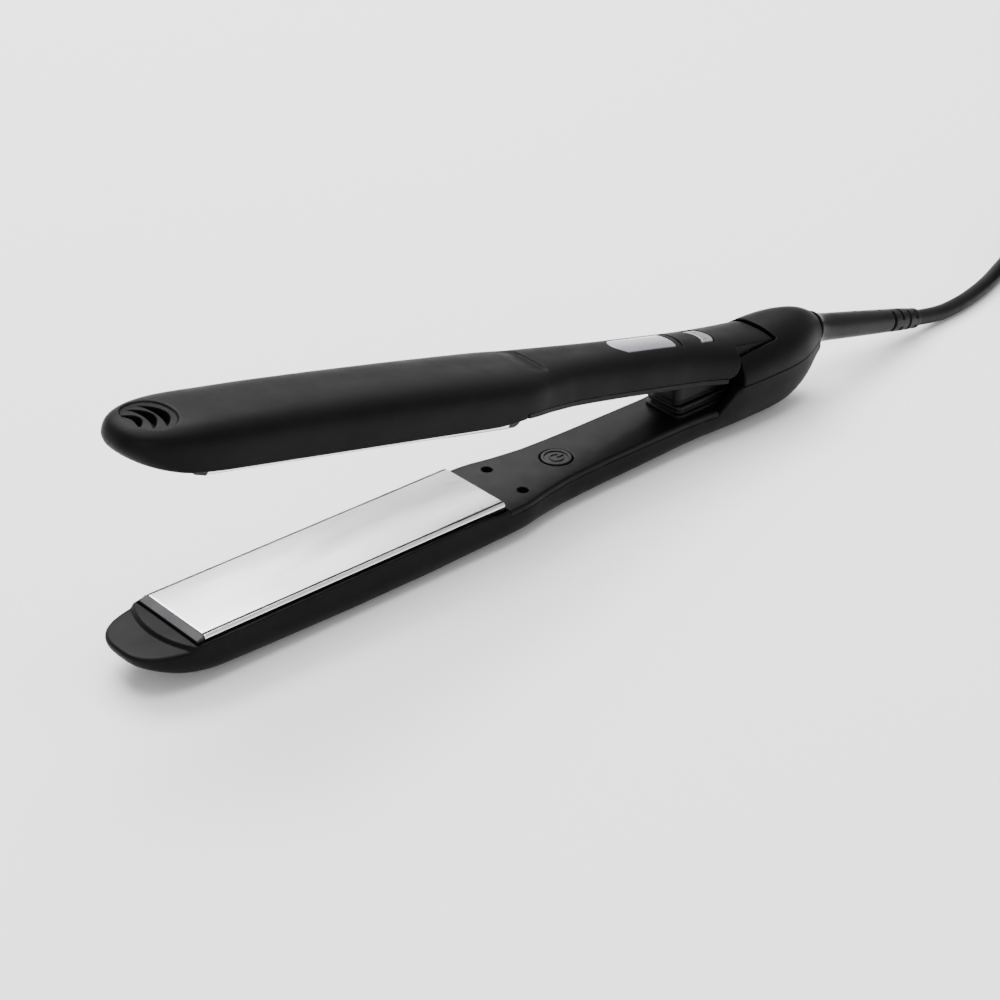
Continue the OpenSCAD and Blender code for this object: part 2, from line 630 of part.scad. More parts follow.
module plug_pins() color(steel)
  for (y = [-9.5, 9.5]) translate([plug_x + 36, y, plug_z]) rotate([0, 90, 0]) {
    cylinder(r = 2, h = 18, $fn = 32);
    translate([0, 0, 18]) cylinder(r1 = 2, r2 = 1.2, h = 1, $fn = 32);
  }

lower_arm_shell();
lower_inner_cover();
lower_cover_screws();
lower_plate_cushions();
lower_plate_carrier();
lower_heating_plate();
lower_heater();
lower_heater_clip();
lower_temperature_sensor();
lower_heater_leads();
power_button();
power_switch();
power_board();
hinge_housing_cover();
housing_screws();
hinge_bracket();
hinge_pin();
opening_spring();
spring_boot();
arm_link_wires();
swivel_socket();
swivel_ball();
strain_relief();
upper_arm_shell();
upper_inner_cover();
upper_cover_screws();
upper_plate_cushions();
upper_plate_carrier();
upper_heating_plate();
upper_heater();
upper_heater_clip();
upper_temperature_sensor();
upper_heater_leads();
hinge_bushes();
display_window();
display_module();
control_board();
temperature_rocker();
rocker_switches();
power_cord();
cord_hank();
cord_tie();
cord_tail();
plug_body();
plug_pins();
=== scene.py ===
# Looks of the hair straightener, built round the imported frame.
import math

import bpy
import numpy as np
from mathutils import Matrix, Vector


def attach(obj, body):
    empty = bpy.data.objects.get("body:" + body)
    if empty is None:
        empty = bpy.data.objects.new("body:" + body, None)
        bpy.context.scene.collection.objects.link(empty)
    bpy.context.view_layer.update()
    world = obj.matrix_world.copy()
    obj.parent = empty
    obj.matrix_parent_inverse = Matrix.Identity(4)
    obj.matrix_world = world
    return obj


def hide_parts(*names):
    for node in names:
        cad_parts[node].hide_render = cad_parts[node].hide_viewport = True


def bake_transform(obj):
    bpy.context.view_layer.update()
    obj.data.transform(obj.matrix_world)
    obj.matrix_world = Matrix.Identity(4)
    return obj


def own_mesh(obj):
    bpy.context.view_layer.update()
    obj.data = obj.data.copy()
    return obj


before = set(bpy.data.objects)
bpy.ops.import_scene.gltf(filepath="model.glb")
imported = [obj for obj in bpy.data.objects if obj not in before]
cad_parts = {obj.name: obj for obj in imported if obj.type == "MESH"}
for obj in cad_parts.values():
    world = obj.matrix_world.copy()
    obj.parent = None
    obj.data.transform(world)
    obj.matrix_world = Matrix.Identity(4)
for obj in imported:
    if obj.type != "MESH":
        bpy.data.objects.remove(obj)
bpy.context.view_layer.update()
MM = 0.001

# ---- camera: the photograph's viewing angle ----

def make_camera():
    az, el, roll = math.radians(-42.924), math.radians(30.433), math.radians(-1.462)
    right = np.array([math.cos(az), math.sin(az), 0.0])
    back = np.array([math.sin(az) * math.cos(el), -math.cos(az) * math.cos(el), math.sin(el)])
    up = np.cross(back, right)
    c, s = math.cos(roll), math.sin(roll)
    rot = np.array([[c, -s, 0], [s, c, 0], [0, 0, 1]]) @ np.array([right, up, back])
    eye = rot.T @ np.array([95.39, 33.44, 704.1]) + np.array([-238.0, 0, 16.5])
    data = bpy.data.cameras.new("camera")
    data.sensor_width = 36.0
    data.sensor_fit = "HORIZONTAL"
    data.lens = 86.4
    data.clip_start, data.clip_end = 0.01, 20.0
    cam = bpy.data.objects.new("camera", data)
    m = Matrix.Identity(4)
    for i in range(3):
        for j in range(3):
            m[i][j] = rot[j][i]
        m[i][3] = eye[i] * MM
    cam.matrix_world = m
    bpy.context.collection.objects.link(cam)
    bpy.context.scene.camera = cam
    return cam


make_camera()

# ---- shapes as signed distances, in millimetres ----
# Half-tool coordinates as in the CAD: x from the hinge axis, z = 0 where the
# plates meet, +z towards the arm's back; stations s = x + 238.

REACH = 238.0


def curve(table, sigma=2.0, lo=-40.0, hi=300.0, step=0.25):
    t = np.array(table, float)
    xs = np.arange(lo, hi + step, step)
    ys = np.interp(xs, t[:, 0], t[:, 1])
    if sigma > 0:
        n = int(4 * sigma / step)
        k = np.exp(-0.5 * (np.arange(-n, n + 1) * step / sigma) ** 2)
        k /= k.sum()
        ys = np.convolve(np.pad(ys, n, mode="edge"), k, "valid")
    return lambda s: np.interp(s, xs, ys)


def rmax(a, b, r):
    """Intersection of two shapes with a fillet of radius r."""
    return np.minimum(np.maximum(a, b), -r) + np.hypot(np.maximum(a + r, 0), np.maximum(b + r, 0))


def rmin(a, b, r):
    return -rmax(-a, -b, r)


def step01(v, a, b):
    t = np.clip((v - a) / (b - a), 0, 1)
    return t * t * (3 - 2 * t)


def section(s, y, z, w, back, p, mid, nose_s, nose_a, nose_n):
    """Distance to an arm's rounded section, closed by a bullnose at its tip."""
    t = np.maximum((nose_s - s) / nose_a, 0)
    u = np.abs(y) / w
    n = nose_n
    un = (t ** n + u ** n) ** (1 / n) + 1e-9
    gu = np.sqrt(((t / un) ** (n - 1) / nose_a) ** 2 + ((u / un) ** (n - 1) / w) ** 2)
    h = np.maximum(back - mid, 1.0)
    v = np.maximum(z - mid, 0) / h
    tot = (un ** p + v ** p) ** (1 / p)
    g = np.hypot((un / tot) ** (p - 1) * gu, (v / tot) ** (p - 1) / h)
    return (tot - 1) / np.maximum(g, 1e-3)


def dbox(ax, ay, az):
    """Distance to a box from the three signed face distances."""
    o = np.sqrt(np.maximum(ax, 0) ** 2 + np.maximum(ay, 0) ** 2 + np.maximum(az, 0) ** 2)
    return o + np.minimum(np.maximum(np.maximum(ax, ay), az), 0)


def span(v, a, b):
    return np.maximum(a - v, v - b)


W_UP = curve([[-40, 16.6], [112, 16.6], [122, 16.5], [127, 16.2], [131, 15.5], [134, 14.7],
              [138, 14], [142, 13.4], [148, 12.5], [158, 12], [170, 11.7], [205, 11.6], [214, 12],
              [222, 12.9], [228, 13.6], [240, 14.2], [252, 14.4]], 1.6)
BACK_UP = curve([[-40, 15.4], [-16, 15.5], [-6, 15.8], [5, 16.1], [15, 16.35], [30, 16.8],
                 [60, 17], [90, 16.9], [118, 16.5], [128, 16.35], [134, 16.45], [145, 16.85],
                 [165, 17], [175, 17.1], [190, 17.25], [205, 17.2], [228, 17], [234, 17.2], [252, 18.1]], 3.0)
P_UP = curve([[-40, 3.7], [-12, 3.7], [5, 3.4], [150, 3.4], [175, 2.8], [190, 2.6], [240, 2.6]], 4.0)
RIM_UP = curve([[-40, 4.4], [-21, 3.9], [-18, 3.1], [-14, 2.4], [-8, 1.9], [0, 1.8], [112, 1.8], [118, 2.4], [123.6, 3.2]], 1.0)

VENTS = [(-17.0, -14.6, 4.9), (-13.4, -10.3, 7.0), (-9.4, -6.0, 7.6)]


def up_outer(x, y, z):
    """Upper arm without its pockets."""
    s = x + REACH
    ay = np.abs(y)
    fade = 1 - step01(ay, 6.5, 10.5)
    dip = -0.65 * step01(s, 127.5, 136.2) * (1 - step01(s, 136.1, 136.8)) * fade
    d = section(s, y, z, W_UP(s), BACK_UP(s) + dip, P_UP(s), 6.0, 10.0, 33.7, 2.5)
    rim = np.where(s < 124.0, RIM_UP(s), 5.1)
    # only the hinge tongue goes on past the arm's end
    ends = rmin(s - 228.0, ay - 9.2, 0.8)
    under = rmax(rim - z, ends, np.where((s > 200) & (s < 228.6), 4.5, 0.3))
    r = np.where(s < 124.0, 0.6 + 3.6 * (1 - step01(s, -22.0, -5.0)), np.where(s < 214, 0.1, 0.5))
    d = rmax(d, under, r)
    end = np.where(x > 0, np.hypot(x, z - 10.5), np.abs(z - 10.5)) - 11.4
    return rmax(d, end, 0.8)


def lens_plan(s, y, s0, s1, hw, k0, k1):
    """Distance to a strip across the arm with bowed ends."""
    q = y * y
    e0 = (s0 + k0 * q - s) / np.sqrt(1 + (2 * k0 * y) ** 2)
    e1 = (s - s1 - k1 * q) / np.sqrt(1 + (2 * k1 * y) ** 2)
    return rmax(rmax(e0, e1, 0.2), np.abs(y) - hw, 0.3)


def vent_plan(s, y, v):
    """Distance to a crescent, pointed at both ends, bowed towards the rear."""
    s0, s1, hw = v
    ay = np.abs(y)
    k1 = (s1 - s0 + 1.3) / (hw * hw)
    k0 = 1.3 / (hw * hw)
    front = (s0 - k0 * ay * ay - s) / np.sqrt(1 + (2 * k0 * ay) ** 2)
    rear = (s - s1 + k1 * ay * ay) / np.sqrt(1 + (2 * k1 * ay) ** 2)
    return rmax(front, rear, 0.25)


def up_shell(x, y, z):
    s = x + REACH
    ay = np.abs(y)
    outer = up_outer(x, y, z)
    # shallow oval recess on the nose, with three louvres cut through its floor
    e = (np.abs((s + 11.7) / 7.2) ** 2.1 + (ay / 9.2) ** 2.1) ** (1 / 2.1)
    oval = (e - 1) * 7.4
    d = rmax(outer, -rmax(oval, -(outer + 0.9), 0.5), 0.7)
    for v in VENTS:
        d = rmax(d, -np.maximum(np.maximum(vent_plan(s, y, v), -(outer + 5.0)), 9.2 - z), 0.35)
    # seats of the window and the rocker
    d = rmax(d, -np.maximum(lens_plan(s, y, 174.6, 202.5, 5.3, 0.11, -0.035) - 0.14, 13.5 - z), 0.32)
    d = rmax(d, -np.maximum(lens_plan(s, y, 216.6, 222.6, 5.0, -0.08, -0.08) - 0.45, 13.5 - z), 0.32)
    # fine line round the window's rear end
    arc = np.abs(s - (205.3 - 0.05 * y * y)) / np.sqrt(1 + (0.1 * y) ** 2) - 0.45
    arc = np.maximum(np.maximum(arc, ay - 6.2), -(outer + 0.85))
    d = rmax(d, -arc, 0.22)
    # pocket of the plate and its carrier
    pocket = dbox(span(s, -3.2, 124.4), ay - 15.35, z - 9.0)
    pocket = np.minimum(pocket, dbox(span(s, -6.5, 0), ay - 15.35 - 0.12 * np.minimum(s, 0), z - 8.8))
    d = rmax(d, -pocket, 0.3)
    # wall for the hinge bushes and the pin
    d = rmax(d, 3.3 - np.hypot(x, z - 10.5), 0.35)
    # way between the tongue's cheeks
    d = np.maximum(d, -dbox(span(x, -14.5, 8.0), ay - 7.0, span(z, 4.0, 14.6)))
    return d


W_LOW = curve([[-40, 16.6], [112, 16.6], [122, 16.5], [127, 16.2], [131, 15.5], [134, 14.7],
               [138, 14], [142, 13.4], [148, 12.5], [158, 12], [170, 11.7], [205, 11.6], [214, 12.1],
               [222, 13.2], [230, 14.4], [238, 14.8], [252, 14.8], [257, 14.4], [261, 13.7],
               [265, 12.6], [269, 11.1], [272, 9.7], [275, 8.2], [278, 7], [281, 6.0]], 1.6)
BACK_LOW = curve([[-40, 10.2], [-21, 10.4], [-17, 11.4], [-14, 12.2], [-9.6, 13.4],
                  [-4, 14.5], [4, 15.2], [20, 15.8], [40, 16.3], [54, 16.62], [86, 16.62],
                  [100, 16.1], [116, 15.6], [130, 15.3], [150, 15.5], [172, 15.1], [190, 14.6],
                  [205, 14.4], [214, 14.9], [222, 15.7], [232, 16.6], [252, 16.6], [257, 15.9],
                  [261, 14.7], [265, 12.9], [269, 10.5], [272, 8.2], [275, 5.9], [278, 4],
                  [281, 2.6]], 1.4)
P_LOW = curve([[-40, 2.6], [-12, 2.7], [2, 3.3], [190, 3.4], [205, 3.1], [214, 2.8], [222, 2.4],
               [232, 2.1], [282, 2]], 3.0)
MID_LOW = curve([[-40, 3.6], [-14, 3.9], [-6, 5], [4, 6], [206, 6], [230, 1], [262, 1], [270, 0.0], [281, -1.5]], 2.0)
RIM_LOW = curve([[-40, 2.6], [118.2, 2.6]], 0.0)
RIM_REAR = curve([[200, 5.1], [219.3, 5.1], [220.6, 3.4], [223, 1.4], [226, -1.4], [228.6, -2.7],
                  [229.8, -3.45], [300, -3.45]], 0.55)
TOP = curve([[200, 15.2], [228, 15.5], [232, 15.8], [240, 16.3], [250, 16.9], [257, 17], [261, 16.9], [265, 16.6],
             [269, 16.1], [272, 15.4], [275, 14.3], [278, 12.6], [281, 10.4]], 1.2)


def low_outer(x, y, z):
    s = x + REACH
    return section(s, y, z, W_LOW(s), BACK_LOW(s), P_LOW(s), MID_LOW(s), 10.0, 30.7, 2.85)


def notch(x, y, zu):
    """Room for the tongue; zu counts up from where the plates meet."""
    ay = np.abs(y)
    front = rmax(x - 12.2, ay - 9.75, 1.6)
    around = np.where(x > 0, np.where(zu > 10.5, np.hypot(x, zu - 10.5), x), -50.0) - 12.2
    return np.maximum(np.maximum(front, -zu - 3.5), around)


def low_shell(x, y, z):
    s = x + REACH
    ay = np.abs(y)
    d = low_outer(x, y, z)
    pad = 31.0 - np.hypot(np.minimum(s - 22.2, 0), y)
    edge = np.maximum(ay - 13.0, 0) / 3.6
    nose = 3.1 + 0.5 * edge * edge * (1 - step01(s, -6, 2)) - 1.2 * step01(pad, -0.7, 0.7) * step01(s, -16, -9)
    nose = nose + 1.15 * step01(s, 104, 118.4)
    slope = RIM_REAR(s + 0.3) - RIM_REAR(s - 0.3)
    rear = (RIM_REAR(s) - z) / np.sqrt(1 + (slope / 0.6) ** 2)
    rim = np.where(s < 118.6, nose - z, rear)
    r = np.where(s < 118.6, 0.45 + 0.75 * (1 - step01(s, -12.0, 0.0)), np.where(s < 214, 0.08, 0.42))
    d = rmax(d, rim, r)
    d = rmax(d, z - 16.5, 0.3)
    d = rmax(d, s - 278.7, 1.3)
    # pocket of the plate and its carrier
    d = rmax(d, -dbox(span(s, -3.2, 118.75), ay - 15.35, z - 9.0), 0.3)
    # room for the tongue and the boot
    d = rmax(d, -np.maximum(notch(x, y, -z), span(s, 219.6, 300)), 0.3)
    d = np.maximum(d, -dbox(span(s, 219.6, 249.9), ay - 9.6, z - 10.0))
    # neck of the lead
    a = math.radians(13.8)
    px, pz = x - 30.5, -z - 7.64
    ax = px * math.cos(a) - pz * math.sin(a)
    rad = np.hypot(px * math.sin(a) + pz * math.cos(a), y)
    d = rmax(d, -np.maximum(rad - 5.0, 6.5 - ax), 0.5)
    return rmax(d, -rmax(rad - 7.3, 10.6 - ax, 0.3), 0.55)


def cover_shell(x, y, zu):
    """Top half of the hinge housing; zu counts up from where the plates meet."""
    s = x + REACH
    ay = np.abs(y)
    p = np.where(s > 258, 2.1, 2.3)
    d = section(s, y, zu, W_LOW(s), TOP(s), 2.15, 5.0, -60.0, 30.7, 2.75)
    d = rmax(d, 229.9 - s, 0.5)
    d = rmax(d, s - 278.7, 1.3)
    d = rmax(d, 3.5 - zu, 0.3)
    d = rmax(d, -notch(x, y, zu), 0.6)
    a = math.radians(13.8)
    px, pz = x - 30.5, zu - 7.64
    ax = px * math.cos(a) - pz * math.sin(a)
    rad = np.hypot(px * math.sin(a) + pz * math.cos(a), y)
    d = rmax(d, -np.maximum(rad - 5.0, 6.5 - ax), 0.5)
    return rmax(d, -rmax(rad - 7.3, 10.6 - ax, 0.3), 0.55)


def inner_cover(w, s0, s1, button):
    def f(x, y, z):
        s = x + REACH
        ay = np.abs(y)
        side = ay - w(s)
        d = np.maximum(side, span(s, s0, s1))
        if button:
            d = rmin(d, dbox(span(s, s1 - 1, 231.0), ay - 8.8, -1.0 + 0 * z), 0.3)
        d = rmax(d, 3.05 - z, 0.8)
        d = np.maximum(d, z - 5.12)
        for c in (-8.75, 8.75):
            d = rmax(d, 1.85 - np.hypot(s - 131.0, y - c), 0.3)
        if button:
            d = rmax(d, 5.72 - np.hypot(s - 154.0, y), 0.3)
        return d
    return f


def carrier(rear_lip, reach=2.6):
    def f(x, y, z):
        s = x + REACH
        ay = np.abs(y)
        bed = dbox(span(s, -0.4, 117.9), ay - 14.3, span(z, 2.45, 7.5))
        n = math.hypot(2.45, 1.0)
        slope = (-(z - 0.3) * 2.45 + (-0.15 - s) * 1.0) / n
        if reach > 3:
            slope = np.maximum((0.15 - z) + (-0.15 - s) * 0.16, (-(z - 0.9) * 1.5 + (-4.2 - s) * 1.6) / 2.2)
        nose = np.maximum(span(s, -reach, -0.15), slope)
        nose = rmax(nose, ay - (14.9 - 0.12 * np.maximum(-0.15 - s, 0)), 0.3)
        nose = rmax(nose, z - 7.5, 0.3)
        d = rmin(bed, nose, 0.2)
        if rear_lip:
            lip = np.maximum(span(s, 117.8, 122.8), 0.25 - z)
            lip = rmax(lip, (0.45 - z) * 0.66 + (s - 121.0) * 0.75, 1.2)
            lip = rmax(lip, ay - 15.0, 0.6)
            lip = rmax(lip, z - 7.5, 0.3)
            d = rmin(d, lip, 0.2)
        return d
    return f


def boot(x, y, zu):
    """Bellows between the arms; zu counts up from where the plates meet."""
    s = x + REACH

    def tier(s0, s1, hw, z0, z1, r, e):
        c = rmax(span(s, s0, s1), np.abs(y) - hw, r)
        return rmax(c, span(zu, z0, z1), e)
    d = tier(203.2, 230.6, 8.6, -3.6, -1.6, 2.5, 0.6)
    d = rmin(d, tier(204.4, 229.0, 7.2, -2.2, 0.2, 2.2, 0.1), 0.8)
    d = rmin(d, tier(203.5, 229.8, 8.1, -0.45, 1.45, 2.5, 0.7), 0.5)
    d = rmin(d, tier(204.2, 228.0, 6.5, 0.5, 3.4, 2.2, 0.1), 0.35)
    d = rmin(d, tier(203.4, 227.4, 7.2, 2.85, 20.0, 2.6, 0.55), 0.3)
    return d


def button_d(x, y, z):
    s, q = x + REACH - 154.0, y
    r = np.hypot(s, q)
    d = rmax(r - 5.3, span(z, 2.8, 5.9), 0.35)
    d = rmax(d, -np.maximum(r - 4.1, z - 3.2), 0.2)
    ang = np.abs(np.arctan2(q, s))
    ring = np.hypot(np.maximum(np.abs(r - 2.2) - 0.2, 0), np.maximum(3.05 - z, 0)) - 0.17
    gap = 0.55 - ang
    ring = np.maximum(ring, gap * r)
    bar = np.hypot(np.maximum(np.abs(q) - 0.14, 0), np.maximum(3.05 - z, 0))
    bar = np.maximum(np.hypot(bar, np.maximum(span(s, 0.5, 2.9), 0)) - 0.22, z - 3.4)
    ring = np.maximum(ring, z - 3.4)
    return rmin(d, np.minimum(ring, bar), 0.06)


def lens_d(s0, s1, hw, k0, k1, drop, z0):
    def f(x, y, z):
        s = x + REACH
        top = section(s, y, z, W_UP(s), BACK_UP(s), P_UP(s), 6.0, 10.0, 33.7, 2.5) + drop
        d = rmax(lens_plan(s, y, s0, s1, hw, k0, k1), top, 0.3)
        return np.maximum(d, z0 - z)
    return f


def rocker_d(x, y, z):
    s = x + REACH - 219.6
    d = lens_d(216.75, 222.45, 4.85, -0.08, -0.08, 0.1, 14.3)(x, y, z)
    top = section(x + REACH, y, z, W_UP(x + REACH), BACK_UP(x + REACH), P_UP(x + REACH), 6.0, 10.0, 33.7, 2.5)
    s = s + 0.08 * y * y
    bars = [np.maximum(np.abs(s) - 1.1, np.abs(np.abs(y) - 2.9) - 0.2),
            np.maximum(np.abs(s) - 0.2, np.abs(y - 2.9) - 1.1)]
    for b in bars:
        d = rmax(d, -np.maximum(b, -(top + 0.42)), 0.12)
    return d


def relief_d(x, y, z):
    """Strain relief; z along the swivel's axis from the ball's centre."""
    r = np.hypot(x, y)
    R = RELIEF(z)
    body = (r - R) * 0.985
    body = rmax(body, span(z, 10.9, 74.0), 0.4)
    for i, (a, b) in enumerate([(56.6, 58.2), (61.6, 63.0), (66.2, 67.6), (70.6, 72.0)]):
        web = (np.abs(x) if i % 2 else np.abs(y)) - 1.3
        cut = np.maximum(span(z, a, b), R * 0 + (3.55 - r))
        cut = np.maximum(cut, -web)
        body = rmax(body, -cut, 0.22)
    for c in (36.0, 51.0):
        body = rmax(body, 0.75 - np.sqrt((z - c) ** 2 + y ** 2 + (x + R + 0.35) ** 2), 0.12)
    return np.maximum(body, 3.05 - r)


RELIEF = curve([[-40, 6.9], [10.9, 6.7], [12, 6.1], [13.5, 5.6], [16, 5.2], [20, 5.05], [26, 5.0], [34.5, 4.85],
                [47, 4.6], [56, 4.4], [60, 4.35], [63.5, 4.3], [68, 4.1], [71.4, 3.9], [76, 3.8]], 0.9)


# ---- surface nets: a signed distance becomes a closed quad mesh ----

def net(f, xs, ys, zs, steps=3, limit=0.6):
    xs, ys, zs = (np.asarray(a, float) for a in (xs, ys, zs))
    ax = (xs, ys, zs)
    F = np.empty((len(xs), len(ys), len(zs)), np.float32)
    Y, Z = np.meshgrid(ys, zs, indexing="ij")
    for i in range(0, len(xs), 24):
        part = xs[i:i + 24]
        F[i:i + 24] = f(part[:, None, None] + 0 * Y[None], Y[None] + 0 * part[:, None, None],
                        Z[None] + 0 * part[:, None, None])
    S = F < 0
    S[0], S[-1] = False, False
    S[:, 0], S[:, -1] = False, False
    S[:, :, 0], S[:, :, -1] = False, False
    shape = np.array(S.shape) - 1
    total = np.zeros(shape, np.int8)
    for i in (0, 1):
        for j in (0, 1):
            for k in (0, 1):
                total += S[i:shape[0] + i, j:shape[1] + j, k:shape[2] + k]
    act = (total > 0) & (total < 8)
    idx = -np.ones(shape, np.int64)
    count = int(act.sum())
    idx[act] = np.arange(count)
    acc = np.zeros((count, 3))
    hits = np.zeros(count)
    quads = []
    for a in range(3):
        b, c = (a + 1) % 3, (a + 2) % 3
        lo = [slice(None)] * 3
        hi = [slice(None)] * 3
        lo[a], hi[a] = slice(0, -1), slice(1, None)
        s0, s1 = S[tuple(lo)], S[tuple(hi)]
        I = np.array(np.nonzero(s0 != s1))
        J = I.copy()
        J[a] += 1
        f0, f1 = F[tuple(I)].astype(float), F[tuple(J)].astype(float)
        den = f0 - f1
        t = np.where(np.abs(den) > 1e-9, f0 / np.where(den == 0, 1, den), 0.5)
        t = np.clip(t, 0.02, 0.98)
        p = np.stack([ax[k][I[k]] for k in range(3)], 1)
        p[:, a] += t * (ax[a][J[a]] - ax[a][I[a]])
        cells = []
        for db, dc in ((-1, -1), (0, -1), (0, 0), (-1, 0)):
            C = I.copy()
            C[b] += db
            C[c] += dc
            n = idx[tuple(C)]
            cells.append(n)
            for k in range(3):
                acc[:, k] += np.bincount(n, p[:, k], minlength=count)
            hits += np.bincount(n, minlength=count)
        q = np.stack(cells, 1)
        flip = ~s0[tuple(I)]
        q[flip] = q[flip][:, ::-1]
        quads.append(q)
    V = acc / hits[:, None]
    base = V.copy()
    size = np.array([np.diff(a).min() for a in ax])

    def grad(P):
        e = 0.02
        g = np.empty_like(P)
        for k in range(3):
            d = np.zeros(3)
            d[k] = e
            g[:, k] = (f(*(P + d).T) - f(*(P - d).T)) / (2 * e)
        return g
    for _ in range(steps):
        g = grad(V)
        m = (g ** 2).sum(1)
        move = -(f(*V.T) / np.maximum(m, 0.05))[:, None] * g
        V = base + np.clip(V + move - base, -limit * size, limit * size)
    g = grad(V)
    normal = g / np.maximum(np.linalg.norm(g, axis=1), 1e-9)[:, None]
    return V, np.concatenate(quads), normal


OPEN = math.radians(12.5)


def lower_map(V):
    return np.stack([V[:, 0], V[:, 1], 16.5 - V[:, 2]], 1) * MM


def upper_map(V):
    x, z = V[:, 0], V[:, 2] - 10.5
    c, s = math.cos(OPEN), math.sin(OPEN)
    return np.stack([x * c + z * s, V[:, 1], -x * s + z * c + 27.0], 1) * MM


def plain_map(V):
    return np.stack([V[:, 0], V[:, 1], V[:, 2] + 16.5], 1) * MM


def swivel_map(V):
    a = math.radians(13.8)
    ax = np.array([math.cos(a), 0, -math.sin(a)])
    v = np.array([0.0, 1.0, 0.0])
    u = np.cross(v, ax)
    o = np.array([30.5, 0, 24.14])
    return (o + V[:, :1] * u + V[:, 1:2] * v + V[:, 2:] * ax) * MM


# ---- end of shapes ----
# ---- objects ----

def grid(*runs):
    out = []
    for a, b, h in runs:
        n = max(int(round((b - a) / h)), 1)
        out.extend(list(np.linspace(a, b, n, endpoint=False)))
    out.append(runs[-1][1])
    return np.array(out)


def make_mesh(name, V, Q, N=None, flip=False, smooth=True):
    Q = np.asarray(Q, np.int64)
    if flip:
        Q = Q[:, ::-1]
    Q = np.ascontiguousarray(Q)
    me = bpy.data.meshes.new(name)
    me.vertices.add(len(V))
    me.vertices.foreach_set("co", np.ascontiguousarray(V, np.float32).ravel())
    me.loops.add(Q.size)
    me.loops.foreach_set("vertex_index", Q.ravel().astype(np.int32))
    me.polygons.add(len(Q))
    w = Q.shape[1]
    me.polygons.foreach_set("loop_start", np.arange(0, Q.size, w, dtype=np.int32))
    me.polygons.foreach_set("loop_total", np.full(len(Q), w, np.int32))
    me.polygons.foreach_set("use_smooth", np.full(len(Q), smooth, bool))
    me.update(calc_edges=True)
    if N is not None:
        me.normals_split_custom_set_from_vertices([tuple(n) for n in N])
    ob = bpy.data.objects.new(name, me)
    bpy.context.collection.objects.link(ob)
    return ob


def shape(name, f, xs, ys, zs, place, material, flip=False, steps=3, second=None, where=None):
    V, Q, N = net(f, xs, ys, zs, steps)
    o = place(np.zeros((1, 3)))
    P = place(V)
    M = (place(np.eye(3)) - o) / MM
    N = N @ M
    ob = make_mesh(name, P, Q, N, flip)
    ob.data.materials.append(material)
    if second:
        ob.data.materials.append(second)
        ob.data.polygons.foreach_set("material_index", where(V[Q].mean(1)).astype(np.int32))
    return ob


# ---- materials ----

def rgb(v):
    """Screen value 0-255 to linear."""
    c = v / 255.0
    return c / 12.92 if c <= 0.04045 else ((c + 0.055) / 1.055) ** 2.4


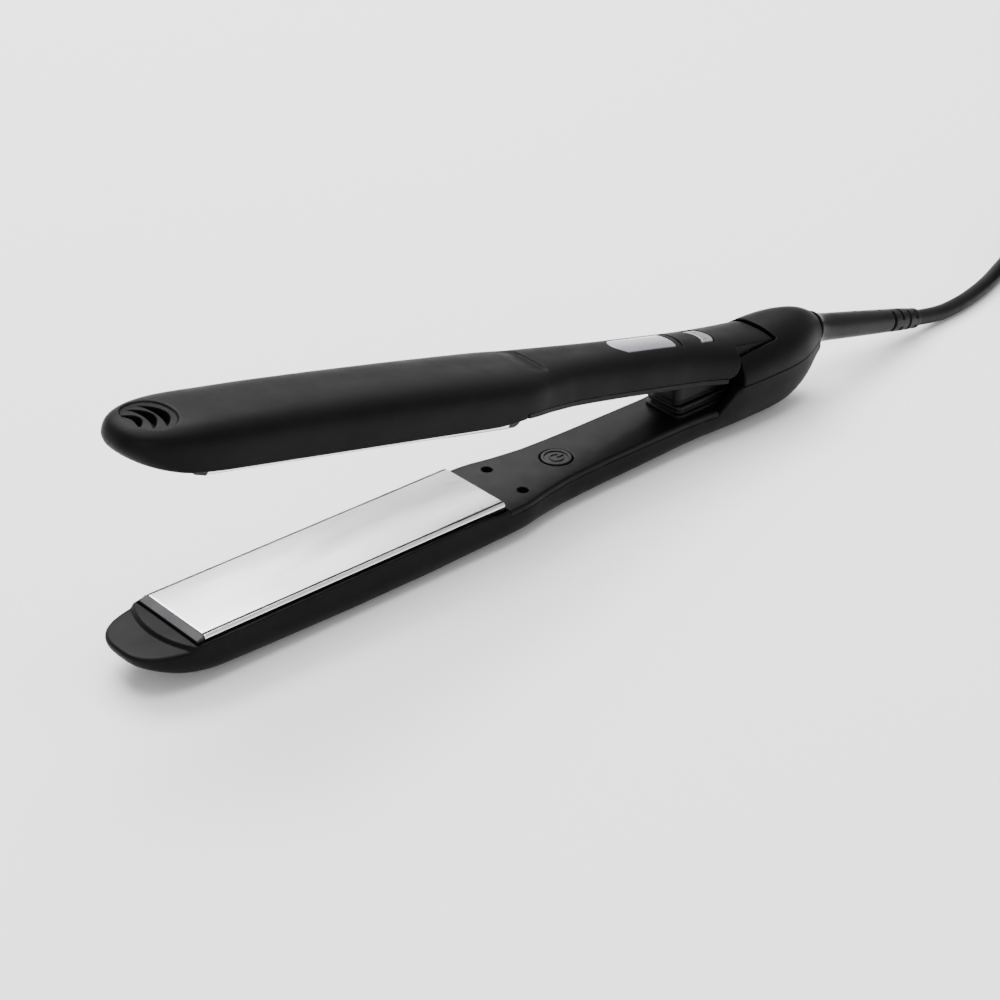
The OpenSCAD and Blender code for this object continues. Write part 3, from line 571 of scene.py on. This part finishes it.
def material(name, dark, light, rough, rough_to=None, metal=0.0, grain=None, grain_depth=0.0,
             mottle=60.0, wear_and_edge_highlight=None, level=0.5, coat=0.0, coat_rough=0.1, brushed=None, alpha_mix=None):
    m = bpy.data.materials.new(name)
    m.use_nodes = True
    nt = m.node_tree
    nt.nodes.clear()
    out = nt.nodes.new("ShaderNodeOutputMaterial")
    sh = nt.nodes.new("ShaderNodeBsdfPrincipled")
    nt.links.new(sh.outputs[0], out.inputs[0])
    sh.inputs["Metallic"].default_value = metal
    sh.inputs["Specular IOR Level"].default_value = level
    sh.inputs["Coat Weight"].default_value = coat
    sh.inputs["Coat Roughness"].default_value = coat_rough
    co = nt.nodes.new("ShaderNodeTexCoord")
    mp = nt.nodes.new("ShaderNodeMapping")
    nt.links.new(co.outputs["Object"], mp.inputs[0])
    if brushed:
        mp.inputs["Scale"].default_value = brushed
    n1 = nt.nodes.new("ShaderNodeTexNoise")
    n1.inputs["Scale"].default_value = mottle
    n1.inputs["Detail"].default_value = 5.0
    n1.inputs["Roughness"].default_value = 0.6
    nt.links.new(mp.outputs[0], n1.inputs["Vector"])
    ramp = nt.nodes.new("ShaderNodeValToRGB")
    ramp.color_ramp.elements[0].position = 0.3
    ramp.color_ramp.elements[1].position = 0.7
    ramp.color_ramp.elements[0].color = (*[float(c) for c in dark], 1)
    ramp.color_ramp.elements[1].color = (*[float(c) for c in light], 1)
    nt.links.new(n1.outputs[0], ramp.inputs[0])
    color = ramp.outputs[0]
    if wear_and_edge_highlight:
        # edges and rims a little lighter: rubbed wear, and a painted highlight along the edges
        geo = nt.nodes.new("ShaderNodeNewGeometry")
        edge_wear_highlight_mask = nt.nodes.new("ShaderNodeValToRGB")
        edge_wear_highlight_mask.color_ramp.elements[0].position = 0.505
        edge_wear_highlight_mask.color_ramp.elements[1].position = 0.58
        edge_wear_highlight_mask.color_ramp.elements[0].color = (0, 0, 0, 1)
        edge_wear_highlight_mask.color_ramp.elements[1].color = (1, 1, 1, 1)
        nt.links.new(geo.outputs["Pointiness"], edge_wear_highlight_mask.inputs[0])
        mul = nt.nodes.new("ShaderNodeMath")
        mul.operation = "MULTIPLY"
        nt.links.new(edge_wear_highlight_mask.outputs[0], mul.inputs[0])
        nt.links.new(n1.outputs[0], mul.inputs[1])
        mix = nt.nodes.new("ShaderNodeMix")
        mix.data_type = "RGBA"
        nt.links.new(mul.outputs[0], mix.inputs["Factor"])
        nt.links.new(color, mix.inputs["A"])
        mix.inputs["B"].default_value = (*[float(c) for c in wear_and_edge_highlight], 1)
        color = mix.outputs["Result"]
    nt.links.new(color, sh.inputs["Base Color"])
    # handling marks change the gloss from place to place
    n2 = nt.nodes.new("ShaderNodeTexNoise")
    n2.inputs["Scale"].default_value = mottle * 1.7
    n2.inputs["Detail"].default_value = 6.0
    nt.links.new(mp.outputs[0], n2.inputs["Vector"])
    mr = nt.nodes.new("ShaderNodeMapRange")
    mr.inputs["From Min"].default_value = 0.3
    mr.inputs["From Max"].default_value = 0.7
    mr.inputs["To Min"].default_value = rough
    mr.inputs["To Max"].default_value = rough_to if rough_to is not None else rough + 0.06
    nt.links.new(n2.outputs[0], mr.inputs["Value"])
    nt.links.new(mr.outputs[0], sh.inputs["Roughness"])
    if grain:
        n3 = nt.nodes.new("ShaderNodeTexNoise")
        n3.inputs["Scale"].default_value = grain
        n3.inputs["Detail"].default_value = 2.0
        nt.links.new(mp.outputs[0], n3.inputs["Vector"])
        bump = nt.nodes.new("ShaderNodeBump")
        bump.inputs["Strength"].default_value = grain_depth
        bump.inputs["Distance"].default_value = 0.0001
        nt.links.new(n3.outputs[0], bump.inputs["Height"])
        nt.links.new(bump.outputs[0], sh.inputs["Normal"])
    return m


def grey(v, tint=(1, 1, 1)):
    return tuple(rgb(v) * t for t in tint)


# the wear colours lighten convex edges: rubbed wear plus a painted edge highlight
SOFT = material("soft_touch", grey(5), grey(9), 0.42, 0.52, grain=2600, grain_depth=0.16,
                mottle=45, wear_and_edge_highlight=grey(11), level=0.065)
INNER = material("inner_plastic", grey(7), grey(10), 0.36, 0.46, grain=2200, grain_depth=0.2,
                 mottle=80, wear_and_edge_highlight=grey(18), level=0.085)
BUTTON = material("button_plastic", grey(9), grey(13), 0.34, 0.44, grain=3000, grain_depth=0.12,
                  mottle=200, wear_and_edge_highlight=grey(32), level=0.14)
CARRIER = material("carrier_gloss", grey(11, (0.9, 1, 1.3)), grey(16, (0.9, 1, 1.3)), 0.3, 0.38,
                   grain=900, grain_depth=0.05, mottle=90, wear_and_edge_highlight=grey(44, (0.9, 1, 1.2)), level=0.22)
PLATE = material("polished_plate", grey(232), grey(240), 0.10, 0.17, metal=1.0, grain=1500,
                 grain_depth=0.03, mottle=30, brushed=(0.25, 1.0, 1.0))
STEEL = material("bright_steel", grey(165), grey(190), 0.24, 0.34, metal=1.0, grain=1800,
                 grain_depth=0.1, mottle=200)
SCREW = material("black_steel", grey(60), grey(78), 0.3, 0.42, metal=1.0, grain=1800,
                 grain_depth=0.1, mottle=400)
BUSH = material("oiled_bronze", grey(34, (1, 0.9, 0.8)), grey(46, (1, 0.9, 0.8)), 0.35, 0.5, metal=0.8,
                grain=1500, grain_depth=0.1, mottle=300)
BRASS = material("brass", grey(180, (1, 0.75, 0.35)), grey(205, (1, 0.78, 0.4)), 0.25, 0.4, metal=1.0,
                 grain=1500, grain_depth=0.1, mottle=200)
CERAMIC = material("ceramic", grey(205, (1, 0.98, 0.93)), grey(225, (1, 0.98, 0.94)), 0.5, 0.65,
                   grain=1800, grain_depth=0.2, mottle=150)
SILICONE = material("silicone", grey(120, (1, 0.45, 0.35)), grey(140, (1, 0.48, 0.38)), 0.45, 0.55,
                    grain=1200, grain_depth=0.1, mottle=120)
BOARD = material("circuit_board", grey(55, (0.35, 1, 0.5)), grey(75, (0.35, 1, 0.5)), 0.35, 0.5,
                 grain=1500, grain_depth=0.25, mottle=300)
RUBBER = material("cord_rubber", grey(9), grey(13), 0.42, 0.54, grain=1700, grain_depth=0.3,
                  mottle=120, wear_and_edge_highlight=grey(20), level=0.11)
RELIEF_M = material("relief_rubber", grey(8), grey(12), 0.32, 0.42, grain=2000, grain_depth=0.2,
                    mottle=90, wear_and_edge_highlight=grey(22), level=0.12)
BOOT_M = material("boot_rubber", grey(7), grey(10), 0.38, 0.48, grain=1900, grain_depth=0.25,
                  mottle=100, wear_and_edge_highlight=grey(20), level=0.11)
WINDOW = material("display_lens", grey(98, (1, 0.96, 1.12)), grey(110, (1, 0.96, 1.12)), 0.16, 0.24,
                  grain=500, grain_depth=0.03, mottle=60, level=0.4, coat=0.25, coat_rough=0.1)
SILVER = material("rocker_silver", grey(112, (1, 1, 1.02)), grey(128, (1, 1, 1.02)), 0.3, 0.4,
                  metal=0.5, grain=2600, grain_depth=0.15, mottle=260, wear_and_edge_highlight=grey(150))
# dark display module; also used as painted shade in the plates' edge grooves
DARK = material("display_dark", grey(16), grey(22), 0.25, 0.35, grain=900, grain_depth=0.05, mottle=120)


def paint_lens_reflection(m, reflection_colour):
    """The lens is painted paler towards its +Y long side, over its object Y: a painted reflection."""
    nt = m.node_tree
    sh = next(n for n in nt.nodes if n.type == "BSDF_PRINCIPLED")
    co = next(n for n in nt.nodes if n.type == "TEX_COORD")
    old = sh.inputs["Base Color"].links[0].from_socket
    sep = nt.nodes.new("ShaderNodeSeparateXYZ")
    nt.links.new(co.outputs["Object"], sep.inputs[0])
    mr = nt.nodes.new("ShaderNodeMapRange")
    mr.interpolation_type = "SMOOTHSTEP"
    mr.inputs["From Min"].default_value = -0.0045
    mr.inputs["From Max"].default_value = 0.0045
    nt.links.new(sep.outputs["Y"], mr.inputs["Value"])
    mix = nt.nodes.new("ShaderNodeMix")
    mix.data_type = "RGBA"
    nt.links.new(mr.outputs[0], mix.inputs["Factor"])
    nt.links.new(old, mix.inputs["A"])
    mix.inputs["B"].default_value = (*reflection_colour, 1)
    nt.links.new(mix.outputs["Result"], sh.inputs["Base Color"])


# painted reflection on the lens: a paler colour towards one long side
paint_lens_reflection(WINDOW, grey(168, (1, 0.98, 1.05)))
PLUG = material("plug_plastic", grey(14), grey(19), 0.36, 0.46, grain=1900, grain_depth=0.3,
                mottle=90, wear_and_edge_highlight=grey(32), level=0.3)
PINS = material("nickel", grey(200), grey(220), 0.16, 0.26, metal=1.0, grain=1600, grain_depth=0.05,
                mottle=150)

NODE_LOOK = {
    "lower_cover_screws": SCREW, "upper_cover_screws": SCREW, "housing_screws": SCREW,
    "lower_heater_leads": SILICONE, "upper_heater_leads": SILICONE, 
    "power_switch": STEEL, "power_board": BOARD, "control_board": BOARD, "hinge_bracket": SCREW,
    "hinge_pin": STEEL, "hinge_bushes": BUSH, "swivel_socket": INNER,
    "swivel_ball": RELIEF_M, "lower_heater": CERAMIC, "upper_heater": CERAMIC,
    "lower_heater_clip": STEEL, "upper_heater_clip": STEEL, "lower_temperature_sensor": BRASS,
    "upper_temperature_sensor": BRASS, "display_module": DARK, "rocker_switches": STEEL,
    "lower_heating_plate": PLATE, "upper_heating_plate": PLATE, "plug_pins": PINS,
    "power_button": BUTTON, "display_window": WINDOW, "temperature_rocker": SILVER,
    "strain_relief": RELIEF_M, "spring_boot": BOOT_M,
}


def node_object(name):
    return bpy.data.objects.get(name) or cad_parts[name]


def dress(name, m):
    ob = node_object(name)
    if not len(ob.material_slots):
        ob.data.materials.append(m)
    for sl in ob.material_slots:
        sl.material = m

# ---- the lead: route, folded bundle, tie, plug ----

ROUTE = [(102.66, 0, 6.42), (110, 0, 4.9), (120, .2, 3.4), (132, 1, 3.1), (144, 3, 3.1),
         (156, 6, 3.1), (168, 10, 3.2), (178, 13.5, 3.4)]


def spline(points, n):
    """Centripetal curve through the points, sampled evenly enough for a lead."""
    P = np.array(points, float)
    P = np.vstack([2 * P[0] - P[1], P, 2 * P[-1] - P[-2]])
    out = []
    for i in range(1, len(P) - 2):
        p0, p1, p2, p3 = P[i - 1:i + 3]
        t = [0.0]
        for a, b in ((p0, p1), (p1, p2), (p2, p3)):
            t.append(t[-1] + max(np.linalg.norm(b - a), 1e-6) ** 0.5)
        for u in np.linspace(t[1], t[2], n, endpoint=False):
            a1 = (t[1] - u) / (t[1] - t[0]) * p0 + (u - t[0]) / (t[1] - t[0]) * p1
            a2 = (t[2] - u) / (t[2] - t[1]) * p1 + (u - t[1]) / (t[2] - t[1]) * p2
            a3 = (t[3] - u) / (t[3] - t[2]) * p2 + (u - t[2]) / (t[3] - t[2]) * p3
            b1 = (t[2] - u) / (t[2] - t[0]) * a1 + (u - t[0]) / (t[2] - t[0]) * a2
            b2 = (t[3] - u) / (t[3] - t[1]) * a2 + (u - t[1]) / (t[3] - t[1]) * a3
            out.append((t[2] - u) / (t[2] - t[1]) * b1 + (u - t[1]) / (t[2] - t[1]) * b2)
    out.append(P[-2])
    return np.array(out)


def hank_points():
    cl, cr = 205.0, 297.0
    layers = [3.7, 9.6, 15.5, 21.2]
    turns = [(24, 0), (18, 0), (18, 1), (24, 1), (24, 2), (18, 2), (18, 3), (24, 3)]
    pts = [(190, 19.2, 3.6)]
    for i, (r, lay) in enumerate(turns):
        z = layers[lay]
        r2, lay2 = turns[i + 1] if i + 1 < len(turns) else (r, lay)
        z2 = layers[lay2]
        last = i + 1 == len(turns)
        for x in (cl, cl + 23, cl + 46, cl + 69):
            pts.append((x, r, z))
        for a in np.radians(np.arange(90, -90, -22.5)):
            pts.append((cr + r * math.cos(a), r * math.sin(a), z))
        if last:
            for x in (cr, cr - 23, cr - 42):
                pts.append((x, -r, z))
            break
        for x in (cr, cr - 23, cr - 46, cr - 69):
            pts.append((x, -r, z))
        for k, a in enumerate(np.radians(np.arange(-90, -270, -22.5))):
            t = k / 8
            t = t * t * (3 - 2 * t)
            q = r + (r2 - r) * t
            pts.append((cl + q * math.cos(a), q * math.sin(a), z + (z2 - z) * t))
    # up over the bundle and into the plug
    pts += [(240, -24, 22.0), (225, -23.9, 23.9), (212, -23.9, 26.0), (200, -23.4, 27.4)]
    for a in np.radians([-110, -140, -170, -200, -230, -260]):
        pts.append((196.5 + 15.3 * math.cos(a), -8.8 + 15.3 * math.sin(a), 28.2 + 0.004 * (260 + math.degrees(a))))
    pts += [(203.5, 4.6, 30.1), (209.5, 2.0, 31.5), (216.5, 0.3, 31.9), (222, 0, 31.9)]
    return pts


def make_lead():
    raw = [tuple(p) for p in ROUTE] + hank_points()
    P = spline(raw, 5)
    # lowest point of the round never goes under the floor
    P[:, 2] = np.maximum(P[:, 2], 3.02)
    cu = bpy.data.curves.new("lead", "CURVE")
    cu.dimensions = "3D"
    sp = cu.splines.new("POLY")
    sp.points.add(len(P) - 1)
    for i, p in enumerate(P):
        sp.points[i].co = (*[float(c) * MM for c in p], 1)
    sp.use_smooth = True
    cu.bevel_depth = 0.003
    cu.bevel_resolution = 4
    cu.use_fill_caps = True
    cu.twist_mode = "Z_UP"
    cu.materials.append(RUBBER)
    ob = bpy.data.objects.new("lead", cu)
    bpy.context.collection.objects.link(ob)
    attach(ob, "lower_arm")
    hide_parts("power_cord", "cord_hank", "cord_tail")
    length = float(np.linalg.norm(np.diff(P, axis=0), axis=1).sum()) * MM
    return ob, length


def plug_shape(x, y, z):
    """Flat two-pin plug; x from its front shoulder, pins towards +x."""
    t = np.clip((x + 2) / 34.0, 0, 1)
    # body narrows towards the lead, with a waist where fingers pull it
    hw = 10.0 + 5.6 * step01(x, -6, 14) - 1.5 * np.exp(-((x - 19) / 6.0) ** 2)
    hh = 5.7 + 1.15 * step01(x, -4, 12) - 0.9 * np.exp(-((x - 19) / 7.0) ** 2)
    r = np.minimum(hh, hw) - 0.6
    q1, q2 = np.abs(y) - (hw - r), np.abs(z) - (hh - r)
    d = np.hypot(np.maximum(q1, 0), np.maximum(q2, 0)) + np.minimum(np.maximum(q1, q2), 0) - r
    d = rmax(d, span(x, -2.0, 35.8), 2.2)
    # grip grooves on both faces
    for c in (10.5, 14.0, 17.5, 21.0, 24.5):
        g = np.hypot(x - c - 0.02 * y * y, np.abs(z) - hh) - 0.85
        d = rmax(d, -np.maximum(g, np.abs(y) - 8.0), 0.25)
    # parting line round the middle
    d = rmax(d, -np.maximum(np.hypot(np.abs(y) - hw, z) - 0.35, span(x, 0, 33)), 0.15)
    # ribbed sleeve over the lead
    cone = np.hypot(y, z) - (3.6 + 1.9 * step01(x, -20, 0))
    cone = np.maximum(cone, span(x, -20.0, 2))
    for c in (-17.6, -14.8, -12.0, -9.2, -6.4):
        cone = rmax(cone, -np.maximum(span(x, c - 0.6, c + 0.6), 3.3 - np.hypot(y, z)), 0.25)
    return rmin(d, cone, 1.4)


def make_plug():
    def place(V):
        return (V + np.array([236.0, 0, 31.9])) * MM
    ob = shape("plug", plug_shape, grid((-21, 1, 0.35), (1, 37, 0.5)), grid((-17, 17, 0.5)),
               grid((-8, 8, 0.4)), place, PLUG)
    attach(ob, "lower_arm")
    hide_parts("plug_body")
    return ob


def revolve(name, profile, n, place, m):
    """Closed body of revolution about x from (x, r) pairs."""
    P = np.array(profile, float)
    V, Q = [], []
    for x, r in P:
        for k in range(n):
            a = 2 * math.pi * k / n
            V.append((x, r * math.cos(a), r * math.sin(a)))
    for i in range(len(P) - 1):
        for k in range(n):
            j = (k + 1) % n
            Q.append((i * n + k, (i + 1) * n + k, (i + 1) * n + j, i * n + j))
    ob = make_mesh(name, place(np.array(V)), np.array(Q))
    ob.data.materials.append(m)
    return ob


def make_pins():
    out = []
    for i, y in enumerate((-9.5, 9.5)):
        def place(V, y=y):
            return (V + np.array([272.0, y, 31.9])) * MM
        sleeve = revolve("pin_sleeve_%d" % i, [(-1, 0.01), (-1, 1.95), (-0.9, 2.05), (9.6, 1.95), (10, 1.85), (10, 0.01)],
                         28, place, PLUG)
        tip = revolve("pin_%d" % i, [(-0.8, 0.01), (-0.8, 1.82), (17.0, 1.82), (18.0, 1.6), (18.7, 1.1), (19.0, 0.5), (19.0, 0.01)],
                      28, place, PINS)
        for ob in (sleeve, tip):
            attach(ob, "lower_arm")
        out += [sleeve, tip]
    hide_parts("plug_pins")
    return out


def tie_d(x, y, z):
    """Rubber strap round the bundle."""
    hw, z0, z1, r = 27.95, 0.05, 24.95, 4.4
    zc, hh = (z0 + z1) / 2, (z1 - z0) / 2
    top = 0.7 * np.exp(-(y / 9.0) ** 2)
    q1, q2 = np.abs(y) - (hw - r), np.abs(z - zc) - (hh - r)
    d = np.hypot(np.maximum(q1, 0), np.maximum(q2, 0)) + np.minimum(np.maximum(q1, q2), 0) - r
    ring_ = np.maximum(d, -(d + 1.15))
    ring_ = rmax(ring_, np.abs(x) - 6.6, 0.45)
    # two raised edges along the strap
    rib = rmax(np.maximum(d - 0.0, -(d + 0.6)), np.abs(np.abs(x) - 5.6) - 0.55, 0.2)
    return np.minimum(ring_, rib)


def make_tie():
    def place(V):
        return (V + np.array([251.0, 0, 0])) * MM
    ob = shape("lead_tie", tie_d, grid((-7.2, 7.2, 0.45)), grid((-29, 29, 0.45)),
               grid((-0.6, 26, 0.42)), place, BOOT_M)
    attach(ob, "lower_arm")
    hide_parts("cord_tie")
    return ob


lead, LEAD_LENGTH = make_lead()
plug = make_plug()
pins = make_pins()
tie = make_tie()

# ---- the tool itself ----

YS = grid((-17.4, 17.4, 0.5))
X0 = -REACH


def S(*runs):
    return grid(*[(a + X0, b + X0, h) for a, b, h in runs])


pieces = []


def add(ob, body, slot_name, *nodes):
    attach(ob, body)
    if nodes:
        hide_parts(*nodes)
    pieces.append(ob)
    return ob


add(shape("upper_shell", up_shell,
          S((-25, -4, 0.3), (-4, 118, 1.8), (118, 142, 0.5), (142, 172, 1.5), (172, 179, 0.32), (179, 201, 0.8), (201, 207, 0.22), (207, 214, 0.6),
            (214, 250.5, 0.42)),
          grid((-17.3, 17.3, 0.42)), grid((0.9, 13.6, 0.45), (13.6, 18.9, 0.28)), upper_map, SOFT),
    "upper_arm", "soft_touch_black", "upper_arm_shell")

add(shape("lower_shell", low_shell,
          S((-22, -3, 0.32), (-3, 116, 1.25), (116, 122, 0.5), (122, 216, 1.2), (216, 234, 0.4),
            (234, 258, 0.8), (258, 282, 0.4)),
          YS, grid((-4.6, -2.4, 0.24), (-2.4, 17.3, 0.5)), lower_map, SOFT, flip=True),
    "lower_arm", "soft_touch_black", "lower_arm_shell")

add(shape("housing_cover", cover_shell, S((229, 282, 0.42)), YS, grid((2.8, 4.4, 0.24), (4.4, 18.2, 0.46)), plain_map, SOFT),
    "lower_arm", "soft_touch_black", "hinge_housing_cover")


def w_cover(tab, inset):
    return lambda s: tab(s) - inset - 0.6 * np.clip((s - 140) / 20, 0, 1)


low_cover = inner_cover(lambda s: W_LOW(s) - 0.06, 118.85, 219.2, True)
up_cover = inner_cover(lambda s: W_UP(s) - 0.06, 124.35, 224.0, False)
FINE = ((118.4, 128, 0.6), (128, 134, 0.4), (134, 146, 1.0), (146, 162, 0.42), (162, 216, 1.4), (216, 232, 0.5))
add(shape("lower_inner_panel", low_cover, S(*FINE), grid((-17.2, 17.2, 0.42)), grid((2.6, 5.6, 0.3)),
          lower_map, INNER, flip=True), "lower_arm", "inner_black", "lower_inner_cover")
add(shape("upper_inner_panel", up_cover, S((123.9, 128, 0.6), (128, 134, 0.4), (134, 222, 1.4), (222, 224.6, 0.5)),
          grid((-17.2, 17.2, 0.42)), grid((2.6, 5.6, 0.3)), upper_map, INNER),
    "upper_arm", "inner_black", "upper_inner_cover")

CX = S((-3.8, 1, 0.3), (1, 116, 2.5), (116, 123.4, 0.4))
CY, CZ = grid((-15.6, 15.6, 0.4)), grid((-0.3, 8, 0.35))
add(shape("lower_carrier", carrier(False), CX, CY, CZ, lower_map, CARRIER, flip=True),
    "lower_plate", "carrier_resin", "lower_plate_carrier")
CXU = S((-6.8, 1, 0.3), (1, 116, 2.5), (116, 123.4, 0.4))
add(shape("upper_carrier", carrier(True, 6.0), CXU, CY, CZ, upper_map, CARRIER),
    "upper_plate", "carrier_resin", "upper_plate_carrier")


def plate_d(x, y, z):
    s = x + REACH
    d = np.hypot(np.maximum(np.abs(y) - 13.8, 0), z - 1.2) - 1.2
    d = np.where(np.abs(y) <= 13.8, np.abs(z - 1.2) - 1.2, d)
    # fine rolled groove along each long edge
    d = rmax(d, -(np.hypot(np.abs(y) - 13.75, z + 0.05) - 0.42), 0.08)
    return rmax(d, span(s, 0.0, 117.6), 0.35)


# faces inside the plates' edge grooves, which take the dark material as painted shade
def groove_painted_shade(C):
    return (np.abs(np.abs(C[:, 1]) - 13.75) < 0.42) & (C[:, 2] > 0.02) & (C[:, 2] < 0.6)


PX = S((-0.5, 1, 0.25), (1, 116.5, 5.0), (116.5, 118.1, 0.25))
PY, PZ = grid((-15.2, -13, 0.14), (-13, 13, 2.0), (13, 15.2, 0.14)), grid((-0.3, 2.7, 0.15))
# the plates' groove faces are painted dark: painted shade
add(shape("lower_plate_metal", plate_d, PX, PY, PZ, lower_map, PLATE, flip=True, steps=5,
          second=DARK, where=groove_painted_shade),
    "lower_plate", "plate_metal", "lower_heating_plate")
add(shape("upper_plate_metal", plate_d, PX, PY, PZ, upper_map, PLATE, steps=5,
          second=DARK, where=groove_painted_shade),
    "upper_plate", "plate_metal", "upper_heating_plate")

add(shape("button", button_d, S((148.4, 159.6, 0.16)), grid((-5.6, 5.6, 0.16)), grid((2.4, 6.3, 0.16)),
          lower_map, BUTTON, flip=True), "button", "button_black", "power_button")

add(shape("window", lens_d(174.75, 202.35, 5.15, 0.11, -0.035, 0.1, 14.6), S((173.5, 203.5, 0.3)),
          grid((-5.6, 5.6, 0.3)), grid((14.2, 18, 0.25)), upper_map, WINDOW),
    "upper_arm", "window_grey", "display_window")
add(shape("rocker", rocker_d, S((213.4, 223.6, 0.18)),
          grid((-5.4, 5.4, 0.18)), grid((14, 17.8, 0.18)), upper_map, SILVER),
    "rocker", "rocker_silver", "temperature_rocker")


def boot_cut(x, y, zu):
    c, sn = math.cos(OPEN), math.sin(OPEN)
    zh = x * sn + (zu + 16.5 - 27.0) * c + 10.5
    return rmax(boot(x, y, zu), zh - 3.35, 0.1)


ob = shape("bellows", boot_cut, S((200.5, 231.6, 0.5)), grid((-9.6, 9.6, 0.5)), grid((-4.1, 14, 0.42)),
           plain_map, BOOT_M)
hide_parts("spring_boot")
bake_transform(ob)
pieces.append(ob)



def tube(name, P, r, n, m):
    """A round wire swept along the points, closed at both ends."""
    P = np.array(P, float)
    T = np.gradient(P, axis=0)
    T /= np.linalg.norm(T, axis=1)[:, None]
    u = np.cross(T[0], (0.3, 1.0, 0.2))
    rings = []
    for p, t in zip(P, T):
        u = u - t * (u @ t)
        u /= np.linalg.norm(u)
        v = np.cross(t, u)
        a = np.arange(n) * 2 * math.pi / n
        rings.append(p + r * (np.cos(a)[:, None] * u + np.sin(a)[:, None] * v))
    V = np.vstack(rings + [P[:1] - T[:1] * r * 0.3, P[-1:] + T[-1:] * r * 0.3])
    k = len(P)
    Q = [(i * n + j, i * n + (j + 1) % n, (i + 1) * n + (j + 1) % n, (i + 1) * n + j)
         for i in range(k - 1) for j in range(n)]
    F = [(k * n, (j + 1) % n, j) for j in range(n)]
    F += [(k * n + 1, (k - 1) * n + j, (k - 1) * n + (j + 1) % n) for j in range(n)]
    faces = [q[:3] for q in Q] + [(q[0], q[2], q[3]) for q in Q] + F
    ob = make_mesh(name, V * MM, faces)
    ob.data.materials.append(m)
    return ob


# pressure spring and the wires between the arms give way inside the bellows
turn = np.linspace(0, 5, 5 * 28 + 1)
lift = np.interp(turn, [0, 0.8, 4.2, 5], [0, 0.07, 0.93, 1])
coil = np.stack([-27 + 3.1 * np.cos(2 * math.pi * turn), -3.1 * np.sin(2 * math.pi * turn),
                 14.45 + lift * 8.7], 1)
ob = tube("pressure_spring", coil, 0.33, 8, STEEL)
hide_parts("opening_spring")
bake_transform(ob)
pieces.append(ob)
for k, y0 in enumerate((-1.8, 0.0, 1.8)):
    q = np.linspace(0, 1, 34)
    bow = np.sin(math.pi * np.clip((q - 0.24) / 0.52, 0, 1)) ** 2
    line = np.stack([-19 + 0.35 * (k - 1) * bow, y0 + 0.45 * y0 * bow, 9.6 + 19.2 * q], 1)
    ob = tube("link_wire_%d" % (k + 1), line, 0.66, 12, SILICONE)
    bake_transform(ob)
    pieces.append(ob)
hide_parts("arm_link_wires")


def cushion_d(x, y, z):
    s = x + REACH
    d = None
    for a in (8, 52, 96):
        b = rmax(span(s, a + 0.02, a + 13.98), np.abs(y) - 8.98, 1.2)
        b = rmax(b, span(z, 7.58, 10.38), 0.45)
        b = rmax(b, -(np.hypot(np.abs(y) - 9.4, z - 8.98) - 0.9), 0.3)
        d = b if d is None else np.minimum(d, b)
    return d


KX = S((7.6, 22.4, 0.45), (22.4, 51.6, 4.0), (51.6, 66.4, 0.45), (66.4, 95.6, 4.0), (95.6, 110.4, 0.45))
KY, KZ = grid((-9.4, -7, 0.3), (-7, 7, 1.0), (7, 9.4, 0.3)), grid((7.3, 10.7, 0.25))
for name, arm, joint, place, flip, node in (
        ("lower_cushions", "lower_arm", "lower_plate_float", lower_map, True, "lower_plate_cushions"),
        ("upper_cushions", "upper_arm", "upper_plate_float", upper_map, False, "upper_plate_cushions")):
    ob = add(shape(name, cushion_d, KX, KY, KZ, place, SILICONE, flip=flip), arm, "silicone", node)
    seat = place(np.array([[-180.0, 0.0, 10.4], [-180.0, 0.0, 9.4]]))
    tuple(float(c) for c in seat[0])
    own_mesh(ob)

add(shape("lead_sleeve", relief_d, grid((-6.8, 6.8, 0.4)), grid((-6.8, 6.8, 0.4)),
          grid((10.2, 13, 0.35), (13, 33, 0.6), (33, 53, 0.35), (53, 56, 0.6), (56, 74.6, 0.3)), swivel_map, RELIEF_M),
    "lead_swivel", "relief_rubber", "strain_relief")

for name, m in NODE_LOOK.items():
    dress(name, m)

# ---- floor and light ----

def floor():
    me = bpy.data.meshes.new("floor")
    n = 6.0
    me.from_pydata([(-n, -n, 0), (n, -n, 0), (n, n, 0), (-n, n, 0)], [], [(0, 1, 2, 3)])
    ob = bpy.data.objects.new("floor", me)
    ob.location = (0, 0, -0.0002)
    bpy.context.collection.objects.link(ob)
    m = bpy.data.materials.new("floor")
    m.use_nodes = True
    nt = m.node_tree
    sh = nt.nodes["Principled BSDF"]
    sh.inputs["Roughness"].default_value = 0.9
    sh.inputs["Specular IOR Level"].default_value = 0.1
    no = nt.nodes.new("ShaderNodeTexNoise")
    no.inputs["Scale"].default_value = 3.0
    rp = nt.nodes.new("ShaderNodeValToRGB")
    rp.color_ramp.elements[0].color = (0.86, 0.86, 0.87, 1)
    rp.color_ramp.elements[1].color = (0.9, 0.9, 0.905, 1)
    nt.links.new(no.outputs[0], rp.inputs[0])
    nt.links.new(rp.outputs[0], sh.inputs["Base Color"])
    me.materials.append(m)


def area(name, at, aim, size, power, shape_="RECTANGLE", size_y=None):
    d = bpy.data.lights.new(name, "AREA")
    d.shape = shape_
    d.size = size
    if size_y:
        d.size_y = size_y
    d.energy = power
    ob = bpy.data.objects.new(name, d)
    ob.location = at
    v = Vector(aim) - Vector(at)
    ob.rotation_euler = v.to_track_quat("-Z", "Y").to_euler()
    bpy.context.collection.objects.link(ob)


floor()
area("key", (0.35, 1.2, 1.5), (-0.1, 0, 0), 1.6, 62, size_y=0.9)
area("top", (-0.1, 0.1, 1.7), (-0.1, 0, 0), 1.4, 40, size_y=1.4)
area("front", (-1.6, -1.3, 0.9), (-0.1, 0, 0), 1.2, 10, size_y=0.8)

world = bpy.data.worlds.new("studio")
world.use_nodes = True
bg = world.node_tree.nodes["Background"]
bg.inputs[0].default_value = (1, 1, 1, 1)
bg.inputs[1].default_value = 0.85
bpy.context.scene.world = world
